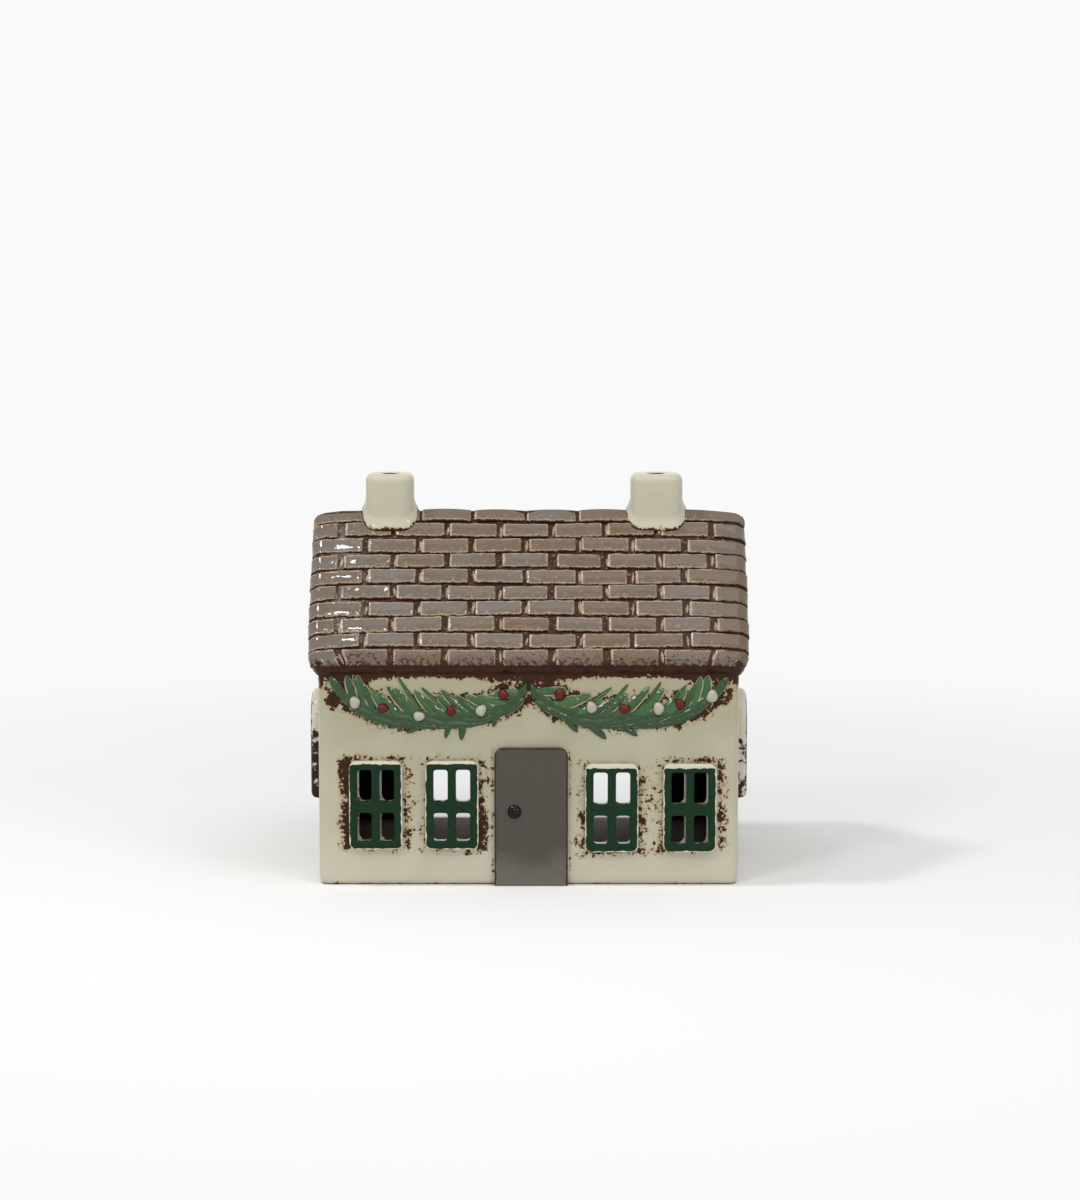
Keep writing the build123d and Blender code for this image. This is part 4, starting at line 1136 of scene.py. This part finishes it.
def roof_slab(node, back, blank, verge_blank, lip_blank):
    """One roof slope: tiles laid course by course in running bond on a bed, wrapped over ridge and verges."""
    tiles = []
    for row in range(COURSES):
        # Both slopes share the ridge course, so they draw it alike
        dice = random.Random(ROOF_SEED + row + (BACK_SEED_STEP if back and row > 0 else 0))
        edges = [-ROOF_REACH - TILE_JOINT / 2] + course_joints(row) + [ROOF_REACH + TILE_JOINT / 2]
        for place, (left, right) in enumerate(zip(edges, edges[1:])):
            gap = RIDGE_GAP if row == 0 else TILE_JOINT / 2
            start = left + gap + dice.uniform(-0.5, 0.5) * gap
            end = right - gap + dice.uniform(-0.5, 0.5) * gap
            top = row * COURSE_PITCH + COURSE_JOINT / 2 + dice.uniform(-0.25, 0.25) * MM
            bottom = (row + 1) * COURSE_PITCH - COURSE_JOINT / 2 + dice.uniform(-0.25, 0.25) * MM
            if row == 0:
                top = -RIDGE_LAP
            if row == COURSES - 1:
                bottom = SLOPE_LENGTH + EAVE_RADIUS * (EAVE_ROLL - 1)
            at_verge = place in (0, len(edges) - 2)
            model = verge_blank if at_verge else blank
            crown = RIDGE_CROWN if row == 0 and not at_verge else 0
            tiles.append(shape_tile(model, start, end, top, bottom, dice, crown, row == COURSES - 1))
            if 0 < row and place > 0 and dice.random() < LIP_SHARE:
                tiles.append(shape_lip(lip_blank, left, (top + bottom) / 2, dice))
    skin = join(tiles, "tiles")
    rows = places(skin)
    wave = ROW_WAVE * np.sin(rows[:, 0] / ROW_WAVE_LENGTH + np.floor(rows[:, 1] / COURSE_PITCH) * 1.7)
    off_eave = 1 - smooth_step(0.9, 1.0, rows[:, 1] / SLOPE_LENGTH)
    rows[:, 1] += wave * smooth_step(2 * MM, 9 * MM, rows[:, 1]) * off_eave
    move_to(skin, wrap_on_roof(rows, back))
    facing = 1 if back else -1
    slice_off(skin, (0, 0, 0), (0, -facing, 0))
    faces_outward(skin)
    # Bed under the tiles: scored where it sinks to the verges and tucks in at the eave's corners
    bed = block("bed", (-HALF_ROOF + TILE_RELIEF, 0, -ROOF_THICKNESS),
                (HALF_ROOF - TILE_RELIEF, SLOPE_LENGTH - 0.2 * MM, -TILE_RELIEF))
    bevel(bed, lambda p, d: abs(d.y) > 0.9 and p.z > -2 * TILE_RELIEF, VERGE_RADIUS - TILE_RELIEF, 5)
    bevel(bed, lambda p, d: abs(d.x) > 0.9 and p.y > SLOPE_LENGTH - 1 * MM and p.z > -2 * TILE_RELIEF,
          2.6 * MM, 4)
    bevel(bed, lambda p, d: abs(d.y) > 0.9 and p.z < 0.1 * MM - ROOF_THICKNESS, VERGE_UNDER_RADIUS, 4)
    for x in np.linspace(DROOP_START, HALF_ROOF - VERGE_RADIUS, 5):
        for side in (-1, 1):
            score(bed, (side * x, 0, 0), (1, 0, 0))
    for u in np.linspace(SLOPE_LENGTH - CORNER_RUN, SLOPE_LENGTH - 0.8 * MM, 8):
        score(bed, (0, u, 0), (0, 1, 0))
    rows = places(bed)
    tuck = np.clip((rows[:, 1] - SLOPE_LENGTH + CORNER_RUN) / CORNER_RUN, 0, 0.995)
    near_verge = smooth_step(TUCK_FROM, TUCK_FULL, np.abs(rows[:, 0]))
    flush = 0.6 * MM * smooth_step(SLOPE_LENGTH - 6 * MM, SLOPE_LENGTH - 2 * MM, rows[:, 1])
    rows[:, 0] += np.sign(rows[:, 0]) * (flush - CORNER_TUCK * (1 - np.sqrt(1 - tuck ** 2))) * near_verge
    rows[:, 2] -= droop(rows[:, 0]) * np.clip(1 + rows[:, 2] / ROOF_THICKNESS, 0, 1)
    move_to(bed, rows)
    rows = places(bed)
    y = rows[:, 1] * math.cos(PITCH) + rows[:, 2] * math.sin(PITCH)
    z = APEX_Z - rows[:, 1] * math.sin(PITCH) + rows[:, 2] * math.cos(PITCH)
    move_to(bed, np.stack([rows[:, 0], facing * y, z], axis=1))
    slice_off(bed, (0, 0, 0), (0, -facing, 0))
    slice_off(bed, (0, 0, RIDGE_Z - 0.6 * MM), (0, 0, 1))
    faces_outward(bed)
    skin.data.materials.append(taupe)
    bed.data.materials.append(iron_joints)
    done(join([skin, bed], "glazed_" + node), taupe, "roof_glaze", node)


# ---------------------------------------------------------------- chimneys

def chimney(node):
    """Soft square stack that spreads to a rounded foot astride the ridge, with a round vent."""
    low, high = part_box(node)
    middle = (low.x + high.x) / 2
    half_width = (high.x - low.x) / 2
    half_depth = (high.y - low.y) / 2
    stack = block("glazed_" + node, (middle - half_width, -half_depth, low.z - CHIMNEY_SINK),
                  (middle + half_width, half_depth, high.z))
    pick(stack, "FACE", lambda p, facing: facing.z > 0.9)
    bpy.ops.transform.resize(value=(1, CHIMNEY_TAPER, 1))
    close_edit()
    bevel(stack, lambda p, d: abs(d.z) > 0.9, CHIMNEY_CORNER, 6)
    bevel(stack, lambda p, d: p.z > high.z - 0.1 * MM, CHIMNEY_CROWN, 4)
    bpy.ops.mesh.primitive_cylinder_add(
        vertices=40, radius=CHIMNEY_VENT / 2, depth=80 * MM, location=(middle, 0, high.z))
    vent = bpy.context.object
    settle()
    cut(stack, vent)
    relax(stack, CHIMNEY_VOXEL, 12)
    rows = places(stack)
    above_roof = rows[:, 2] - (RIDGE_Z - np.abs(rows[:, 1]) * math.tan(PITCH))
    out = np.stack([rows[:, 0] - middle, rows[:, 1]], axis=1)
    distance = np.hypot(out[:, 0], out[:, 1])
    in_vent = distance < VENT_ZONE
    spread = CHIMNEY_FLARE * np.clip(1 - above_roof / FLARE_HEIGHT, 0, 1) ** 1.6
    spread *= smooth_step(-1.5 * MM, 1.2 * MM, above_roof)
    spread = np.where(in_vent, 0, spread * np.clip((distance - VENT_ZONE) / (3 * MM), 0, 1))
    rows[:, :2] += out / np.maximum(distance, 1e-9)[:, None] * spread[:, None]
    move_to(stack, rows)
    # Rust at the foot; inside the vent, the darkest brown as painted shade down the hole
    stain = np.clip(1.0 - above_roof / (2.2 * MM), 0, 1)
    paint(stack, "stain", np.where(in_vent & (rows[:, 2] < high.z - 0.5 * MM), 1.2, stain))
    done(stack, cream, "cream_glaze", node)


# ---------------------------------------------------------------- garland and berries

def shape_leaf(blank, side, x, z, angle, length, width, lift, curve, tone, pale):
    """Copies the blank to one leaf on the front wall, its stalk end at x, z."""
    leaf = copy_of(blank, "leaf")
    unit = places(leaf)
    skirt = unit[:, 2] < -0.5
    t = (unit[:, 0] + 1) / 2
    v = unit[:, 1]
    half = np.maximum(width / 2 * np.sqrt(np.maximum(1 - np.abs(2 * t - 1) ** 2.4, 0)), 0.2 * MM)
    along = t * length
    across = v * half + curve * (t ** 2) * length
    outer = -side * v
    crown = (1 - np.abs(v) ** 1.5) * np.sin(math.pi * np.clip(0.15 + 0.75 * t, 0, 1))
    rise = lift + 0.75 * MM * crown + 0.15 * MM * (1 + outer)
    height = np.where(skirt, -LEAF_BED, rise)
    wx = x + along * math.cos(angle) - across * math.sin(angle)
    wz = z + along * math.sin(angle) + across * math.cos(angle)
    move_to(leaf, np.stack([wx, FRONT_Y - height, wz], axis=1))
    edge = np.maximum.reduce([
        0.95 * smooth_step(0.4, 0.8, outer), 0.8 * smooth_step(0.88, 1.0, t),
        0.95 * smooth_step(0.6, 0.95, -outer) * smooth_step(0.35, 0.65, t)])
    paint(leaf, "rim", pale * np.where(skirt, 0.6, edge))
    paint(leaf, "tone", tone)
    paint(leaf, "stain", np.where(skirt, 1.0, 0.0))
    return leaf


def swag_band(side):
    """Smooth crescent that the leaves grow from."""
    band = blank_grid(60, 8)
    unit = places(band)
    skirt = unit[:, 2] < -0.5
    t = 0.01 + 0.97 * (unit[:, 0] + 1) / 2
    stem = np.array([swag_point(side, k)[:2] for k in t])
    half = 3.6 * MM * np.sin(math.pi * np.clip(0.08 + 0.86 * t, 0, 1)) ** 0.35
    z = stem[:, 1] + unit[:, 1] * half - 1.4 * MM
    rise = 0.8 * MM * np.sqrt(np.maximum(1 - np.abs(unit[:, 1]) ** 2.5, 0)) + 0.2 * MM
    height = np.where(skirt, -LEAF_BED, rise)
    move_to(band, np.stack([stem[:, 0], FRONT_Y - height, z], axis=1))
    paint(band, "rim", 0.0)
    # Darkest green: a duller glaze, and painted shade on the swag's lower part
    paint(band, "tone", 0.1)
    paint(band, "stain", np.where(skirt, 1.0, smooth_step(0.8, 1.0, np.abs(unit[:, 1])) * 0.6))
    return band


def garland(node, side, blank):
    """Leafy swag in relief: long leaves fan up and short ones down from the stem, away from the middle."""
    dice = random.Random(GARLAND_SEEDS[node])
    pieces = [swag_band(side)]
    sprigs = [(t, rise, turn, 0.0, length, width, LOWER_LEAF_LIFT)
              for t, rise, turn, length, width in LOWER_LEAVES[node]]
    for count, first, span, lowest, highest, *form in LEAF_ROWS:
        for i in range(count):
            sprigs.append((first + span * i / (count - 1), dice.uniform(lowest, highest), *form))
    sprigs.append(END_LEAF)
    for t, rise, turn, spread, length, width, lift in sprigs:
        x, z, heading = swag_point(side, min(max(t + dice.uniform(-0.015, 0.015), 0.01), 0.97))
        z += rise * MM
        angle = heading + side * (turn + dice.uniform(-spread, spread))
        long = LEAF_LENGTH * length * dice.uniform(0.88, 1.08) * (1 - 0.25 * abs(2 * t - 1))
        tip_x = x + long * math.cos(angle)
        tip_z = z + long * math.sin(angle)
        if tip_z > LEAF_TOP_Z:
            long *= max(0.35, (LEAF_TOP_Z - z) / (tip_z - z))
        if abs(tip_x) > LEAF_END_X:
            long *= max(0.35, (LEAF_END_X - abs(x)) / (abs(tip_x) - abs(x)))
        curve = side * math.copysign(0.12, turn) * dice.uniform(0.2, 1.0)
        # Upward leaves take a random green. The band and the front, end and hanging leaves take the darkest:
        # their own duller green, and painted shade on the swag's downward-facing lower part.
        pieces.append(shape_leaf(
            blank, side, x, z, angle, long, LEAF_WIDTH * width, lift * MM, curve,
            dice.uniform(0.1, 1.1) if turn > 0.5 else 0.1, 1.0 if turn > 0.5 else 0.7))
    swag = join(pieces, "glazed_" + node)
    faces_outward(swag)
    done(swag, leaf_green, "leaf_glaze", node)


def berries(node, material, slot, fullness):
    """Dabs of glaze pressed among the leaves where the frame has the berries, no two quite alike."""
    dice = random.Random(node)
    beads = []
    left = list(places(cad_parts[node]))
    while left:
        seed = left[0]
        group = [p for p in left if math.hypot(p[0] - seed[0], p[2] - seed[2]) < BERRY_SPACING]
        left = [p for p in left if math.hypot(p[0] - seed[0], p[2] - seed[2]) >= BERRY_SPACING]
        low = np.min(group, axis=0)
        high = np.max(group, axis=0)
        middle = (low + high) / 2
        radius = fullness * dice.uniform(0.9, 1.1) * (high[0] - low[0]) / 2
        bead = dome_on_front("bead", middle[0], middle[2], radius, BERRY_HEIGHT, BERRY_SEAT_Y)
        rows = places(bead)
        turn = np.arctan2(rows[:, 2] - middle[2], rows[:, 0] - middle[0])
        lump = 1 + 0.09 * np.sin(2 * turn + dice.uniform(0, 6)) + 0.06 * np.sin(3 * turn + dice.uniform(0, 6))
        rows[:, 0] = middle[0] + (rows[:, 0] - middle[0]) * lump
        rows[:, 2] = middle[2] + (rows[:, 2] - middle[2]) * lump
        move_to(bead, rows)
        beads.append(bead)
    done(join(beads, "glazed_" + node), material, slot, node)


# ---------------------------------------------------------------- tealight and floor

def dress_cad():
    """Plain pieces whose shape is right get their finish."""
    for node, material in (("floor_slab", clay), ("tealight_cup", foil), ("wax", paraffin),
                           ("wick_sustainer", tin), ("wick", cotton)):
        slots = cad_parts[node].data.materials
        slots.clear()
        slots.append(material)


# ---------------------------------------------------------------- stage

def seen_by_eye(tree):
    """1 for rays that show a thing, straight, mirrored or through glass, and 0 for rays that light."""
    path = put(tree, "ShaderNodeLightPath")
    seen = put(tree, "ShaderNodeMath", {
        0: path.outputs["Is Camera Ray"], 1: path.outputs["Is Glossy Ray"]}, operation="MAXIMUM").outputs[0]
    return put(tree, "ShaderNodeMath", {
        0: seen, 1: path.outputs["Is Transmission Ray"]}, operation="MAXIMUM").outputs[0]


def stage():
    """Plain pale floor that fades to white, soft studio lamps and the camera."""
    bpy.ops.object.select_all(action="DESELECT")
    bpy.ops.mesh.primitive_plane_add(size=12)
    floor = bpy.context.object
    floor.name = "studio_floor"
    material = bpy.data.materials.new("white_paper_floor")
    material.use_nodes = True
    tree = material.node_tree
    tree.nodes.clear()
    spot = put(tree, "ShaderNodeTexCoord").outputs["Object"]
    away = put(tree, "ShaderNodeVectorMath", {0: spot}, operation="LENGTH").outputs["Value"]
    fade = put(tree, "ShaderNodeMapRange", {
        "Value": away, "From Min": 0.12, "From Max": 0.5}, interpolation_type="SMOOTHSTEP").outputs[0]
    seen = seen_by_eye(tree)
    share = put(tree, "ShaderNodeMath", {0: seen, 1: fade}, operation="MULTIPLY").outputs[0]
    paper = put(tree, "ShaderNodeBsdfDiffuse", {"Color": linear("#f1f1f1")}).outputs[0]
    white = put(tree, "ShaderNodeEmission", {"Color": linear("#f9f9f9"), "Strength": 1.0}).outputs[0]
    mixed = put(tree, "ShaderNodeMixShader", {0: share, 1: paper, 2: white}).outputs[0]
    put(tree, "ShaderNodeOutputMaterial", {"Surface": mixed})
    floor.data.materials.append(material)

    world = bpy.data.worlds.new("studio")
    bpy.context.scene.world = world
    world.use_nodes = True
    tree = world.node_tree
    tree.nodes.clear()
    seen = seen_by_eye(tree)
    dim = put(tree, "ShaderNodeBackground", {"Color": linear("#ffffff"), "Strength": 0.5}).outputs[0]
    white = put(tree, "ShaderNodeBackground", {"Color": linear("#f9f9f9"), "Strength": 1.0}).outputs[0]
    mixed = put(tree, "ShaderNodeMixShader", {0: seen, 1: dim, 2: white}).outputs[0]
    put(tree, "ShaderNodeOutputWorld", {"Surface": mixed})

    # Place, size and power
    lamps = {
        "key_softbox": ((-0.55, -0.12, 1.00), 0.14, 3.0),
        "top_softbox": ((0.25, -0.45, 1.20), 0.90, 4.2),
        "front_fill": ((0.20, -1.60, 0.70), 1.20, 1.8),
        "front_softbox": ((-0.50, -0.85, 0.85), 0.22, 2.2),
        "left_glint": ((-0.20, -0.07, 1.00), 0.05, 0.4),
        "right_glint": ((0.66, -0.80, 0.68), 0.12, 0.9),
    }
    for name, (place, size, power) in lamps.items():
        bpy.ops.object.light_add(type="AREA", location=place)
        lamp = bpy.context.object
        lamp.name = name
        lamp.data.size = size
        lamp.data.energy = power
        lamp.rotation_euler = (LAMP_TARGET - Vector(place)).to_track_quat("-Z", "Y").to_euler()

    bpy.ops.object.camera_add(location=CAMERA_PLACE, rotation=(CAMERA_TILT, 0, 0))
    camera = bpy.context.object
    camera.data.lens = CAMERA_LENS
    camera.data.sensor_width = 36
    camera.data.clip_start = 0.01
    bpy.context.scene.camera = camera
    bpy.context.scene.view_settings.view_transform = "Standard"


walls()
for name in FRONT_WINDOWS + GABLE_WINDOWS:
    window(name)
door()
knob()
plain_tile = blank_grid(13, 7)
verge_tile = blank_grid(24, 7)
glaze_lip = lip_model()
roof_slab("front_roof_slab", False, plain_tile, verge_tile, glaze_lip)
roof_slab("back_roof_slab", True, plain_tile, verge_tile, glaze_lip)
for model in (plain_tile, verge_tile, glaze_lip):
    bpy.data.objects.remove(model)
chimney("left_chimney")
chimney("right_chimney")
plain_leaf = blank_grid(14, 10)
garland("left_garland", -1, plain_leaf)
garland("right_garland", 1, plain_leaf)
bpy.data.objects.remove(plain_leaf)
berries("red_berries", berry_red, "red_glaze", 1.0)
berries("white_berries", berry_white, "white_glaze", 1.15)
dress_cad()
stage()
